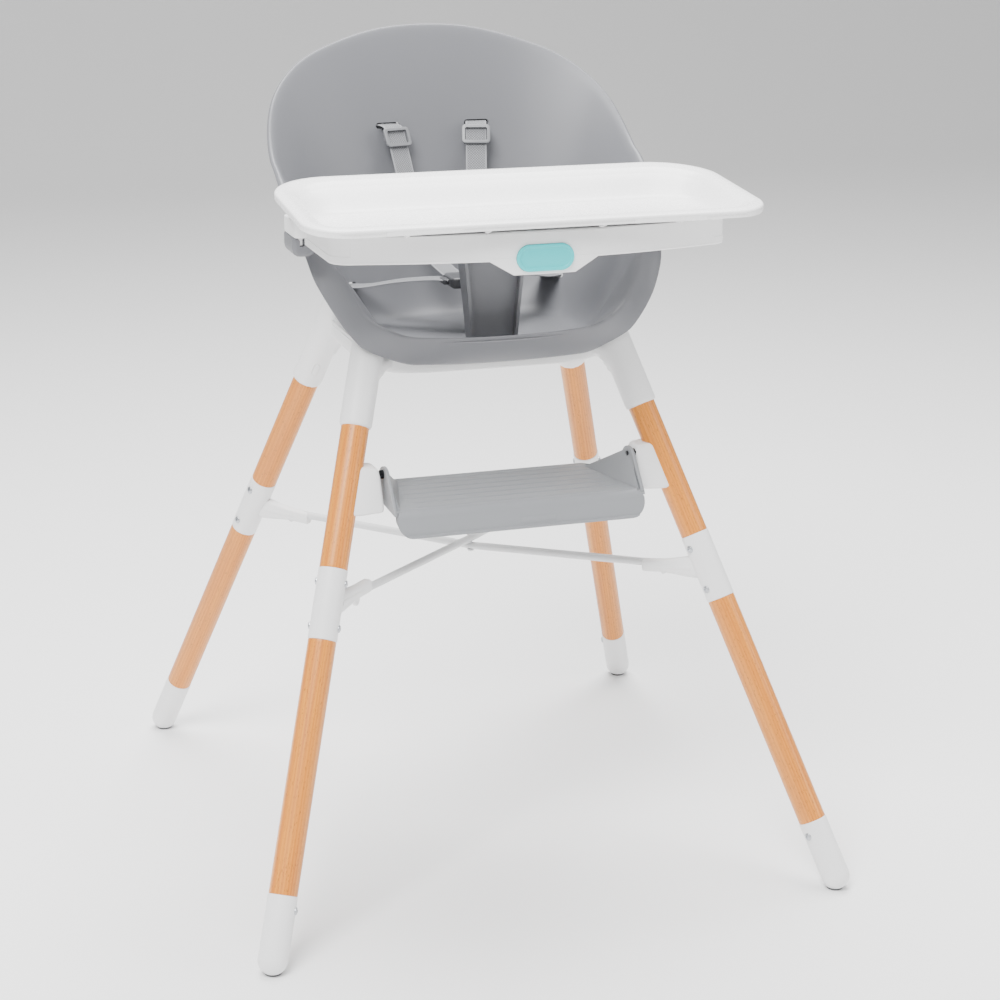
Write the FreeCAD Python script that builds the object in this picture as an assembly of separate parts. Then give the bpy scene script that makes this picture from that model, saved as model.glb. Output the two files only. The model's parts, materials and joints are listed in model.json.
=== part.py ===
"""Baby high chair: moulded bucket seat on four splayed beech legs, with tray, footrest and harness.

Millimetres, +Z up, origin on the floor under the middle of the four feet. The chair faces -Y and
the sitter's left hand is on +X. Left and right mirror each other across X = 0.
"""
import FreeCAD, Part
import math
import os

V = FreeCAD.Vector
os.makedirs("parts", exist_ok=True)

# ---- driving dimensions ---------------------------------------------------------------------
# legs: their axes where they meet the floor and at their tops in the hub, and the inward lean
# per millimetre of height that follows
FOOT_X, FOOT_Y = 329.0, 356.5
LEG_TOP, LEG_TOP_X, LEG_TOP_Y = 586.0, 148.3362, 90.163
LEAN_X, LEAN_Y = (FOOT_X - LEG_TOP_X) / LEG_TOP, (FOOT_Y - LEG_TOP_Y) / LEG_TOP
WOOD_R = 15.5
SPIGOT_R = 12.0
SPIGOT_LENGTH, COLLAR_SPIGOT = 33.0, 24.0      # into the foot caps, and into the collars
COLLAR_R = 16.0
CAP_TOP, COLLAR_BOTTOM, COLLAR_TOP, SLEEVE_BOTTOM = 74.5, 313.0, 382.0, 521.0
SLEEVE_R, SLEEVE_TOP = 18.25, 640.0
PAD_THICKNESS, PAD_R, PAD_STUD_R, PAD_STUD_LENGTH = 2.5, 9.0, 3.0, 9.0
BOLT_R, BOLT_HEAD_R, BOLT_HEAD_HEIGHT, NUT_R = 2.5, 4.2, 2.0, 3.6
BOLT_YAW = 22.0
FIT = 0.1                     # pieces that are glued, pressed or screwed together
GAP = 0.3                     # faces that lie near each other without touching
RUNNING = 0.05                # pins in their bores, on the radius

# seat shell: angle from the front, height of the mouth's inner edge, then how far the outer edge
# of the lip stands outwards and below it
LIP = ((0, 620, -41, 40), (24, 622, -20, 37), (34, 631, -12, 38), (42, 645, 3, 38),
       (46, 661, 12, 36), (51, 688, 20, 35), (56, 705, 21, 29), (63, 726, 16, 18),
       (78, 764, 9, 7), (90, 793, 6, 4), (115, 857, 5, 3), (146, 905, 4.5, 2.5), (180, 930, 4, 2))
MOUTH = dict(half_width=214.0, front=187.0, back=147.0, middle=40.0, power=2.45)
PAN = dict(half_width=118.0, front=90.0, back=88.0, middle=-12.0, power=2.6)
PAN_Z = 597.0
WALL = 4.5
LIP_CROWN = 3.0
RING_POINTS = 40

# hub under the seat
HUB_BOTTOM, HUB_TOP, HUB_WALL = 568.5, 612.0, 5.0
HUB_HALF_X, HUB_HALF_Y, HUB_FLAT, HUB_SIDE_Z = 150.0, 94.0, 104.0, 586.0
HUB_SCREW_X, HUB_SCREW_Y, HUB_SCREW_R = 70.0, 45.0, 2.5
LOCK_HEIGHT, LOCK_LENGTH, LOCK_WIDTH, LOCK_TRAVEL = 545.0, 15.0, 7.0, 2.5

# cross brace
BRACE_Z, BRACE_CENTRE_Z, ROD_R, ROD_STACK = 345.0, 337.0, 4.5, 9.4
ARM_LENGTH, ARM_ROOT_HEIGHT, ARM_TIP_HEIGHT, ARM_WIDTH, SOCKET_DEPTH = 65.0, 26.0, 15.0, 15.0, 25.0

# footrest
TREAD_Z, TREAD_THICKNESS = 444.0, 4.0
TREAD_FRONT, TREAD_REAR, TREAD_HALF_FRONT, TREAD_HALF_REAR = -196.0, -72.0, 139.0, 114.0
LIP_BOTTOM_Z, LIP_BOTTOM_Y = 415.0, -206.0
PIVOT_Y, PIVOT_Z, PIVOT_R = -149.0, 474.0, 3.0
EAR_OUTER, EAR_THICKNESS = 145.0, 4.0
BRACKET_INNER, BRACKET_BOTTOM, BRACKET_TOP, BRACKET_DEPTH = 149.0, 434.0, 484.0, 26.0
SCREW_R, SCREW_HEAD_R, SCREW_HEAD_DEPTH = 2.0, 4.0, 3.0
GROOVES = 5

# tray
BASE_HALF, BASE_FRONT, BASE_BULGE, BASE_REAR = 218.0, -242.0, 27.5, -72.0
BASE_BOTTOM, DECK_TOP, TRAY_WALL, BASE_CORNER = 724.6, 753.0, 3.0, 24.0
BUTTON_WIDTH, BUTTON_HEIGHT, BUTTON_Z, BUTTON_PROUD, BUTTON_TRAVEL = 62.0, 28.0, 727.0, 2.5, 6.0
HUMP_BOTTOM, HUMP_REAR = 709.5, -232.0
HUMP_HALF_BOTTOM, HUMP_HALF_TOP = BUTTON_WIDTH / 2 + 2.5, BUTTON_WIDTH / 2 + 28.3
COVER_HALF, COVER_FRONT, COVER_REAR = 251.5, -287.0, -60.0
COVER_RIM_FRONT, COVER_RIM_REAR, COVER_FLOOR = 768.0, 790.0, 757.0
COVER_BAND, COVER_WALL, COVER_LIFT = 8.0, 4.5, 0.5
COVER_FRONT_CORNER, COVER_REAR_CORNER = 45.0, 70.0
LATCH_TRAVEL = 5.0
LATCH_Y, LATCH_Z, LATCH_HEIGHT, LATCH_DEPTH = -88.0, 734.7, 4.7, 10.0
RAIL_OUT, RAIL_FRONT, RAIL_REAR, RAIL_BOTTOM, RAIL_TOP = 231.0, -112.0, -36.0, 712.0, 733.0
TONGUE_X, TONGUE_WIDTH, TONGUE_REAR = 222.0, 5.4, -63.0

# crotch post and harness
POST_Y, POST_FOOT_HALF, POST_TOP_HALF, POST_TOP = -85.0, 27.0, 39.0, 721.0
WEBBING, WEBBING_THICKNESS = 25.0, 1.5
STRAP_X, STRAP_SLOT_Z = 59.0, 815.0

SIDES = (("left", 1), ("right", -1))
CORNERS = (("front_left", 1, -1), ("front_right", -1, -1), ("rear_left", 1, 1), ("rear_right", -1, 1))
STRETCH = math.sqrt(1 + LEAN_X ** 2 + LEAN_Y ** 2)      # length along a leg per millimetre of height
made = {}


# ---- small helpers --------------------------------------------------------------------------
def save(name, shape):
    """Keep one sub-part and write it as a STEP file."""
    made[name] = shape
    shape.exportStep("parts/%s.step" % name)


def joined(shapes):
    """One solid fused from several."""
    return shapes[0].multiFuse(shapes[1:]).removeSplitter() if len(shapes) > 1 else shapes[0]


def cylinder(start, end, radius):
    """Round bar from one point to another."""
    return Part.makeCylinder(radius, (end - start).Length, start, end - start)


def block(x0, x1, y0, y1, z0, z1):
    """Rectangular block between two corners."""
    return Part.makeBox(x1 - x0, y1 - y0, z1 - z0, V(x0, y0, z0))


def prism(points, along):
    """Extrude a closed polygon."""
    return Part.Face(Part.makePolygon(list(points) + [points[0]])).extrude(along)


def turned(profile, origin, axis):
    """Revolve a (radius, height) outline about an axis through origin."""
    outline = Part.Face(Part.makePolygon([V(r, 0, h) for r, h in profile + profile[:1]]))
    solid = outline.revolve(V(0, 0, 0), V(0, 0, 1), 360)
    solid.Placement = FreeCAD.Placement(origin, FreeCAD.Rotation(V(0, 0, 1), axis))
    return solid


def mirrored(shape, side):
    """The shape itself on the left, its mirror image on the right."""
    return shape if side > 0 else shape.mirror(V(0, 0, 0), V(1, 0, 0))


def placed_four(shape):
    """Copies of a piece of the left rear corner at all four corners, by name."""
    both = {1: shape, -1: shape.mirror(V(0, 0, 0), V(0, 1, 0))}
    return {name: mirrored(both[back], side) for name, side, back in CORNERS}


def curve_value(table, column, angle):
    """Smooth value of one column of a table over its first column, without overshoot."""
    xs = [row[0] for row in table]
    ys = [row[column] for row in table]
    slopes = [(ys[i + 1] - ys[i]) / (xs[i + 1] - xs[i]) for i in range(len(xs) - 1)]
    bends = [0.0]
    for low, high in zip(slopes, slopes[1:]):
        bends.append(2 * low * high / (low + high) if low * high > 0 else 0.0)
    bends.append(0.0)
    i = max(k for k in range(len(xs) - 1) if xs[k] <= angle or k == 0)
    step = xs[i + 1] - xs[i]
    u = (angle - xs[i]) / step
    start = ys[i] * (1 + 2 * u) * (1 - u) ** 2 + bends[i] * step * u * (1 - u) ** 2
    return start + ys[i + 1] * (3 - 2 * u) * u ** 2 - bends[i + 1] * step * (1 - u) * u ** 2


def oval(angle, half_width, front, back, middle, power):
    """Point of a superellipse, at an angle in degrees from the front."""
    s, c = math.sin(math.radians(angle)), math.cos(math.radians(angle))
    x = half_width * math.copysign(abs(s) ** (2 / power), s)
    reach = front if c > 0 else back
    return V(x, middle - reach * math.copysign(abs(c) ** (2 / power), c), 0)


def ring_wire(points):
    """Closed smooth curve through a ring of points."""
    spline = Part.BSplineCurve()
    spline.interpolate(Points=points, PeriodicFlag=True)
    return Part.Wire([spline.toShape()])


def skinned(rings):
    """Solid skinned through closed rings, flat at its first and last one."""
    solid = Part.makeLoft([ring_wire(ring) for ring in rings], True)
    if solid.Volume < 0:
        solid.reverse()
    return solid


# ---- seat shell -----------------------------------------------------------------------------
def mouth_point(angle):
    """Inner edge of the lip."""
    point = oval(angle, **MOUTH)
    point.z = curve_value(LIP, 1, fold(angle))
    return point


def fold(angle):
    """Angle from the front, the same on both sides."""
    angle = angle % 360
    return min(angle, 360 - angle)


def plan_normal(angle):
    """Outward horizontal direction of the mouth."""
    ahead, behind = oval(angle + 1, **MOUTH), oval(angle - 1, **MOUTH)
    along = (ahead - behind).normalize()
    return V(along.y, -along.x, 0)


def edge_point(angle):
    """Outer edge of the lip."""
    spread, drop = curve_value(LIP, 2, fold(angle)), curve_value(LIP, 3, fold(angle))
    return mouth_point(angle) + plan_normal(angle) * spread - V(0, 0, drop)


def inner_point(angle, s):
    """Inside of the bucket, from the mouth at s = 0 to the flat pan at s = 1."""
    mouth, pan = mouth_point(angle), oval(angle, **PAN)
    pan.z = PAN_Z
    reach = mouth - pan
    upper = pan + V(reach.x * 0.45, reach.y * 0.45, reach.z * 0.45)
    lower = pan + V(reach.x * 0.38, reach.y * 0.38, reach.z * 0.02)
    return (mouth * (1 - s) ** 3 + upper * (3 * s * (1 - s) ** 2)
            + lower * (3 * s ** 2 * (1 - s)) + pan * s ** 3)


def inner_normal(angle, s):
    """Direction out of the bucket through its wall."""
    down = inner_point(angle, min(s + 0.01, 1)) - inner_point(angle, max(s - 0.01, 0))
    around = inner_point(angle + 1, s) - inner_point(angle - 1, s)
    return down.cross(around).normalize()


def lip_point(angle, u):
    """Rounded band of the lip, from its inner edge at u = 0 to its outer edge at u = 1."""
    inner, outer = mouth_point(angle), edge_point(angle)
    around = mouth_point(angle + 1) - mouth_point(angle - 1)
    crown = (outer - inner).cross(around).normalize()
    height = LIP_CROWN * min((outer - inner).Length / 25, 1)
    return inner + (outer - inner) * u + crown * (4 * height * u * (1 - u))


def outer_point(angle, s, extra=0.0):
    """Outside of the bucket: it starts at the lip's outer edge and settles to the wall thickness."""
    wall = inner_point(angle, s) + inner_normal(angle, s) * (WALL + extra)
    hang = edge_point(angle) + plan_normal(angle) * extra + (inner_point(angle, s) - mouth_point(angle))
    blend = min(s / 0.45, 1)
    blend = blend * blend * (3 - 2 * blend)
    return hang * (1 - blend) + wall * blend


ANGLES = [360 * (k + 0.5) / RING_POINTS for k in range(RING_POINTS)]
OUTER_STEPS = (0.08, 0.2, 0.32, 0.45, 0.6, 0.75, 0.88)


def flat_ring(z, extra=0.0):
    """Edge of the flat bottom."""
    wider = dict(PAN, half_width=PAN["half_width"] + extra, front=PAN["front"] + extra,
                 back=PAN["back"] + extra)
    return [oval(angle, **wider) + V(0, 0, z) for angle in ANGLES]


def seat_shell(clearance=0.0):
    """The bucket as one skin: up its inside, over the lip and down its outside, grown outwards."""
    rings = [flat_ring(PAN_Z)]
    for s in (0.88, 0.75, 0.6, 0.45, 0.3, 0.15, 0.05):
        rings.append([inner_point(angle, s) for angle in ANGLES])
    for u in (0, 0.35, 0.7, 1):
        rings.append([lip_point(angle, u) + plan_normal(angle) * (clearance * u) for angle in ANGLES])
    for s in OUTER_STEPS:
        rings.append([outer_point(angle, s, clearance) for angle in ANGLES])
    rings.append(flat_ring(PAN_Z - WALL - clearance, clearance))
    return skinned(rings)


WAIST_SLOT = V(120.0, 70.0, 640.0)
CROTCH_SLOT_Y = -30.0
SLOT_LENGTH, SLOT_HEIGHT = WEBBING + 5.0, 7.0


def shell_slots():
    """Cutters for the five harness slots and for the pegs of the crotch post."""
    half = SLOT_LENGTH / 2
    cutters = []
    for name, side in SIDES:
        slot_x = side * (STRAP_X - 4)
        cutters.append(block(slot_x - half, slot_x + half, 100, 200,
                             STRAP_SLOT_Z - SLOT_HEIGHT / 2, STRAP_SLOT_Z + SLOT_HEIGHT / 2))
        waist = block(-40, 40, -half, half, -SLOT_HEIGHT / 2, SLOT_HEIGHT / 2)
        waist.Placement = FreeCAD.Placement(WAIST_SLOT, FreeCAD.Rotation(V(0, 0, 1), 35))
        cutters.append(mirrored(waist, side))
        cutters.append(cylinder(V(side * (POST_FOOT_HALF - 2), POST_Y, PAN_Z - 20),
                                V(side * (POST_FOOT_HALF - 2), POST_Y, PAN_Z + 5), POST_PEG_R + GAP))
    cutters.append(block(-half, half, CROTCH_SLOT_Y - SLOT_HEIGHT / 2, CROTCH_SLOT_Y + SLOT_HEIGHT / 2,
                         PAN_Z - 10, PAN_Z + 10))
    return cutters


POST_PEG_R = 3.0
shell_screws = [V(x * HUB_SCREW_X, y * HUB_SCREW_Y - 12, 0) for x in (1, -1) for y in (1, -1)]
shell = seat_shell().cut(Part.makeCompound(shell_slots()))
shell = shell.cut(Part.makeCompound([cylinder(p + V(0, 0, PAN_Z - WALL - 1), p + V(0, 0, PAN_Z - 1.5),
                                              HUB_SCREW_R) for p in shell_screws]))
save("seat_shell", shell)
clear_of_seat = seat_shell(GAP)


# ---- legs -----------------------------------------------------------------------------------
def leg_point(z):
    """Point on the axis of the left rear leg at a height."""
    return V(FOOT_X - LEAN_X * z, FOOT_Y - LEAN_Y * z, z)


LEG_AXIS = (leg_point(1) - leg_point(0)).normalize()
BOLT_AXIS = V(math.cos(math.radians(BOLT_YAW)), -math.sin(math.radians(BOLT_YAW)), 0)
BOLT_AXIS = (BOLT_AXIS - LEG_AXIS * BOLT_AXIS.dot(LEG_AXIS)).normalize()
COLLAR_BOLT_Z = (COLLAR_TOP - 13, COLLAR_BOTTOM + 13)
CAP_SCREW_Z = CAP_TOP - 13


def leg_bar(low, high, low_spigot, high_spigot):
    """Turned beech bar between two heights, stepped down where it enters a socket."""
    length = (high - low) * STRETCH
    profile = [(0, -low_spigot), (SPIGOT_R, -low_spigot), (SPIGOT_R, 0), (WOOD_R, 0)]
    profile += [(WOOD_R, length), (SPIGOT_R, length), (SPIGOT_R, length + high_spigot)]
    return turned(profile + [(0, length + high_spigot)], leg_point(low), LEG_AXIS)


def cross_hole(z, radius, start=-30.0, end=30.0):
    """Cutter along a cross bolt."""
    return cylinder(leg_point(z) + BOLT_AXIS * start, leg_point(z) + BOLT_AXIS * end, radius)


def dome_bolt(z, reach, head_side):
    """Bolt with a domed head on one side of the collar and its shank through the wood."""
    out = BOLT_AXIS * head_side
    seat = leg_point(z) + out * COLLAR_R
    head = turned([(0, -0.8), (BOLT_HEAD_R, -0.8), (BOLT_HEAD_R, 0.6), (BOLT_HEAD_R * 0.7, 1.6),
                   (0, BOLT_HEAD_HEIGHT)], seat, out)
    socket = prism([seat + hexagon_point(k, out) for k in range(6)], out * BOLT_HEAD_HEIGHT * 2)
    shank = cylinder(seat - out * 0.5, seat - out * reach, BOLT_R)
    return head.fuse(shank).removeSplitter().cut(socket)


def hexagon_point(k, out):
    """Corner of the hexagon socket in a bolt head, pressed in from its face."""
    side = out.cross(LEG_AXIS).normalize()
    turn = math.radians(60 * k)
    return out * 0.7 + (side * math.cos(turn) + LEG_AXIS * math.sin(turn)) * 1.6


collar_holes = [cross_hole(z, BOLT_R + FIT) for z in COLLAR_BOLT_Z]
head_seats = [cross_hole(z, BOLT_HEAD_R + FIT, side * (COLLAR_R - 0.8), side * 30.0)
              for z in COLLAR_BOLT_Z for side in (1, -1)]
head_seats.append(cross_hole(CAP_SCREW_Z, BOLT_HEAD_R + FIT, -30.0, -(COLLAR_R - 0.8)))
nut_holes = [cross_hole(z, NUT_R + FIT, 2.0, 30.0) for z in COLLAR_BOLT_Z]

upper = leg_bar(COLLAR_TOP, LEG_TOP, COLLAR_SPIGOT, 0.0)
upper = upper.cut(Part.makeCompound(collar_holes + nut_holes))
lower = leg_bar(CAP_TOP, COLLAR_BOTTOM, SPIGOT_LENGTH, COLLAR_SPIGOT)
cap_hole = cross_hole(CAP_SCREW_Z, BOLT_R + FIT, -30.0, 4.0)
lower = lower.cut(Part.makeCompound(collar_holes + nut_holes + [cap_hole]))

collar_length = (COLLAR_TOP - COLLAR_BOTTOM) * STRETCH
collar = turned([(SPIGOT_R + FIT, 0), (COLLAR_R - 0.8, 0), (COLLAR_R, 0.8),
                 (COLLAR_R, collar_length - 0.8), (COLLAR_R - 0.8, collar_length),
                 (SPIGOT_R + FIT, collar_length)], leg_point(COLLAR_BOTTOM), LEG_AXIS)
collar = collar.cut(Part.makeCompound(collar_holes + nut_holes + head_seats))

pad_seat = math.sqrt(COLLAR_R ** 2 - (PAD_R + 0.6) ** 2) + PAD_THICKNESS
cap_centre = leg_point(pad_seat)
cap = joined([Part.makeSphere(COLLAR_R, cap_centre), cylinder(cap_centre, leg_point(CAP_TOP), COLLAR_R)])
cap_bore = cylinder(leg_point(CAP_TOP) - LEG_AXIS * (SPIGOT_LENGTH + FIT), leg_point(CAP_TOP + 5),
                    SPIGOT_R + FIT)
under_floor = block(0, 2 * FOOT_X, 0, 2 * FOOT_Y, -50, PAD_THICKNESS)
pad_foot = V(cap_centre.x, cap_centre.y, 0)
pad_socket = cylinder(pad_foot, pad_foot + V(0, 0, PAD_THICKNESS + PAD_STUD_LENGTH + FIT), PAD_STUD_R + FIT)
cap_cuts = [cap_bore, under_floor, pad_socket, cross_hole(CAP_SCREW_Z, BOLT_R + FIT, -30.0, 0.0)]
cap = cap.cut(Part.makeCompound(cap_cuts + head_seats[-1:]))
pad = turned([(0, 0), (PAD_R - 0.8, 0), (PAD_R, 0.8), (PAD_R, PAD_THICKNESS), (PAD_STUD_R, PAD_THICKNESS),
              (PAD_STUD_R, PAD_THICKNESS + PAD_STUD_LENGTH), (0, PAD_THICKNESS + PAD_STUD_LENGTH)],
             pad_foot, V(0, 0, 1))

BOLT_REACH = COLLAR_R + 4.0
bolts = [dome_bolt(z, BOLT_REACH, -1) for z in COLLAR_BOLT_Z]
nuts = []
for z in COLLAR_BOLT_Z:
    barrel = cylinder(leg_point(z) + BOLT_AXIS * 4.5, leg_point(z) + BOLT_AXIS * COLLAR_R, NUT_R)
    face = turned([(0, -0.8), (BOLT_HEAD_R, -0.8), (BOLT_HEAD_R, 0.6), (BOLT_HEAD_R * 0.7, 1.6),
                   (0, BOLT_HEAD_HEIGHT)], leg_point(z) + BOLT_AXIS * COLLAR_R, BOLT_AXIS)
    nuts.append(barrel.fuse(face).removeSplitter())
cap_screw = dome_bolt(CAP_SCREW_Z, COLLAR_R - 4.5, -1)

for piece, shape in (("lower_leg", lower), ("foot_cap", cap), ("foot_pad", pad)):
    for corner, copy in placed_four(shape).items():
        save("%s_%s" % (piece, corner), copy)
save("collar_bolts", Part.makeCompound([s for b in bolts for s in placed_four(b).values()]))
save("collar_nuts", Part.makeCompound([s for n in nuts for s in placed_four(n).values()]))
save("foot_cap_screws", Part.makeCompound(list(placed_four(cap_screw).values())))


# ---- cross brace ----------------------------------------------------------------------------
def brace_run(back_corner):
    """Centre line of a rod from its crossing to the left rear leg; one rod passes over the other."""
    centre = V(0, 0, BRACE_CENTRE_Z + back_corner * ROD_STACK / 2)
    return centre, leg_point(BRACE_Z)


brace_target = leg_point(BRACE_Z)
inward = V(-brace_target.x, -brace_target.y, 0).normalize()
arm_root = brace_target + inward * (COLLAR_R - 2)
arm_tip = arm_root + inward * ARM_LENGTH
arm_tip.z -= (BRACE_Z - BRACE_CENTRE_Z) * ARM_LENGTH / V(brace_target.x, brace_target.y, 0).Length


def arm_section(centre, height, width):
    """Rounded upright section of a brace arm."""
    across = inward.cross(V(0, 0, 1))
    points = []
    for k in range(16):
        turn = 2 * math.pi * k / 16
        c, s = math.cos(turn), math.sin(turn)
        points.append(centre + across * (width / 2 * math.copysign(abs(c) ** 0.6, c))
                      + V(0, 0, height / 2 * math.copysign(abs(s) ** 0.6, s)))
    return ring_wire(points)


arm_mid = arm_root + (arm_tip - arm_root) * 0.62
arm = joined([Part.makeLoft([arm_section(arm_root, ARM_ROOT_HEIGHT, ARM_WIDTH),
                             arm_section(arm_mid, ARM_TIP_HEIGHT, ARM_TIP_HEIGHT - 1)], True),
              Part.makeLoft([arm_section(arm_mid, ARM_TIP_HEIGHT, ARM_TIP_HEIGHT - 1),
                             arm_section(arm_tip, ARM_TIP_HEIGHT - 1, ARM_TIP_HEIGHT - 2)], True)])
leg_space = cylinder(leg_point(BRACE_Z - 60), leg_point(BRACE_Z + 60), COLLAR_R + FIT)
tongue_height, tongue_width, tongue_depth = 12.0, 6.0, 6.0
tongue_centre = brace_target + inward * (COLLAR_R - tongue_depth + 4)


def arm_tongue(grow):
    """Key that passes through the collar's wall between the two bars."""
    across = inward.cross(V(0, 0, 1)) * (tongue_width / 2 + grow)
    low = tongue_centre - V(0, 0, tongue_height / 2 + grow) - inward * (tongue_depth / 2 + 4 * grow)
    corners = [low - across, low + across, low + across + V(0, 0, tongue_height + 2 * grow),
               low - across + V(0, 0, tongue_height + 2 * grow)]
    return prism(corners, inward * (tongue_depth + 8))


latch_root = arm_root + inward * 34 - V(0, 0, 8)
latch_tab = prism([latch_root, latch_root + inward * 9, latch_root + inward * 5 - V(0, 0, 6.5),
                   latch_root + inward * 3 - V(0, 0, 6.5)], inward.cross(V(0, 0, 1)) * 6)
latch_tab.translate(inward.cross(V(0, 0, 1)) * -3)
arm = joined([arm.cut(leg_space), arm_tongue(0), latch_tab])
collar = collar.cut(arm_tongue(FIT))
for corner, copy in placed_four(collar).items():
    save("leg_collar_%s" % corner, copy)

for rod_name, stack in (("brace_rod_upper", 1), ("brace_rod_lower", -1)):
    centre, target = brace_run(stack)
    halves = []
    for end in (1, -1):
        tip = V(end * target.x, end * stack * target.y, target.z)
        run = tip - centre
        stop = centre + run * ((run.Length - COLLAR_R + 2 - ARM_LENGTH + SOCKET_DEPTH - 1) / run.Length)
        halves.append(cylinder(centre, stop, ROD_R))
    rod = joined(halves + [Part.makeSphere(ROD_R, centre)])
    rod_hole = cylinder(V(0, 0, BRACE_CENTRE_Z - 30), V(0, 0, BRACE_CENTRE_Z + 30), 2.0 + FIT)
    save(rod_name, rod.cut(rod_hole))

for corner, side, back in CORNERS:
    stack = side * back
    centre = V(0, 0, BRACE_CENTRE_Z + stack * ROD_STACK / 2)
    tip = V(side * brace_target.x, back * brace_target.y, brace_target.z)
    run = (tip - centre).normalize()
    bore = cylinder(tip - run * (COLLAR_R - 2 + ARM_LENGTH - SOCKET_DEPTH), centre, ROD_R + FIT)
    save("brace_arm_%s" % corner, placed_four(arm)[corner].cut(bore))

rivet_low = BRACE_CENTRE_Z - ROD_STACK / 2 - ROD_R
rivet_high = BRACE_CENTRE_Z + ROD_STACK / 2 + ROD_R
save("brace_rivet", turned([(0, rivet_low - 2), (3, rivet_low - 2), (4.5, rivet_low), (2, rivet_low),
                            (2, rivet_high), (4.5, rivet_high), (3, rivet_high + 2), (0, rivet_high + 2)],
                           V(0, 0, 0), V(0, 0, 1)))


# ---- seat hub -------------------------------------------------------------------------------
def hub_tub(inset, lift):
    """Tub under the seat, with sloping sides, or its hollow when it is inset and lifted."""
    half, flat, y = HUB_HALF_X - inset, HUB_FLAT - inset / 2, HUB_HALF_Y - inset
    section = [V(-half, -y, HUB_TOP + lift), V(-half, -y, HUB_SIDE_Z + lift), V(-flat, -y, HUB_BOTTOM + lift),
               V(flat, -y, HUB_BOTTOM + lift), V(half, -y, HUB_SIDE_Z + lift), V(half, -y, HUB_TOP + lift)]
    return prism(section, V(0, 2 * y, 0))


sleeve = joined([cylinder(leg_point(SLEEVE_BOTTOM), leg_point(SLEEVE_TOP), SLEEVE_R),
                 Part.makeSphere(SLEEVE_R, leg_point(SLEEVE_TOP))])
sleeve = sleeve.makeFillet(2.5, [e for e in sleeve.Edges if e.BoundBox.ZMax < SLEEVE_BOTTOM + 12])
lock_side = V(0, -1, 0) - LEG_AXIS * V(0, -1, 0).dot(LEG_AXIS)
lock_side.normalize()


def lock_slug(grow, inner, outer):
    """Upright stadium that runs out of the sleeve towards the middle of the chair."""
    across = LEG_AXIS.cross(lock_side)
    half = (LOCK_LENGTH - LOCK_WIDTH) / 2
    radius = LOCK_WIDTH / 2 + grow
    root = leg_point(LOCK_HEIGHT) + lock_side * inner
    ends = [Part.makeCylinder(radius, outer - inner, root + LEG_AXIS * (half * k), lock_side)
            for k in (1, -1)]
    corner = root - across * radius - LEG_AXIS * half
    wide, tall = across * (2 * radius), LEG_AXIS * (2 * half)
    web = prism([corner, corner + wide, corner + wide + tall, corner + tall], lock_side * (outer - inner))
    return joined(ends + [web])


def largest(shape):
    """The biggest solid of a shape, without the slivers a cut leaves."""
    return max(shape.Solids, key=lambda solid: solid.Volume)


lock_hole = lock_slug(GAP, 0.0, SLEEVE_R + 5)
bosses = [cylinder(p + V(0, 0, HUB_BOTTOM), p + V(0, 0, PAN_Z - WALL - GAP), 7.0) for p in shell_screws]
web_ends = HUB_HALF_X - 8.0
cross_webs = [block(-web_ends, web_ends, y, y + HUB_WALL, HUB_BOTTOM, HUB_TOP)
              for y in (-HUB_HALF_Y, HUB_HALF_Y - HUB_WALL)]
tub = joined([hub_tub(0, 0).cut(hub_tub(HUB_WALL, HUB_WALL))] + cross_webs + bosses)
hub = joined([tub] + list(placed_four(sleeve).values()))
leg_bores = placed_four(cylinder(leg_point(SLEEVE_BOTTOM - 10), leg_point(LEG_TOP) + LEG_AXIS * FIT,
                                 WOOD_R + FIT))
hub_cuts = list(leg_bores.values()) + list(placed_four(lock_hole).values())
hub_cuts += [cylinder(p + V(0, 0, HUB_BOTTOM - 5), p + V(0, 0, HUB_TOP), HUB_SCREW_R + FIT)
             for p in shell_screws]
hub = largest(hub.cut(Part.makeCompound(hub_cuts)).cut(clear_of_seat))
save("seat_hub", hub)

screw_head = [(0, HUB_BOTTOM - 3), (4.5, HUB_BOTTOM - 2.4), (4.5, HUB_BOTTOM), (HUB_SCREW_R, HUB_BOTTOM),
              (HUB_SCREW_R, PAN_Z - 2.0), (0, PAN_Z - 2.0)]
save("hub_screws", Part.makeCompound([turned(screw_head, p, V(0, 0, 1)) for p in shell_screws]))

lock = lock_slug(0.0, WOOD_R + LOCK_TRAVEL + GAP - 2.2, SLEEVE_R + 0.4)
leg_relief = lock_slug(1.0, WOOD_R - 3.0, SLEEVE_R + 5)
for corner, copy in placed_four(lock).items():
    save("leg_lock_button_%s" % corner, copy)
relieved_legs = placed_four(upper.cut(leg_relief))


# ---- footrest -------------------------------------------------------------------------------
def rounded_plate(half, low, high, radius, y0, y1):
    """Upright plate across the chair, with round corners."""
    pieces = [block(-half, half, y0, y1, low + radius, high - radius),
              block(radius - half, half - radius, y0, y1, low, high)]
    for x in (radius - half, half - radius):
        for z in (low + radius, high - radius):
            pieces.append(cylinder(V(x, y0, z), V(x, y1, z), radius))
    return joined(pieces)


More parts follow.
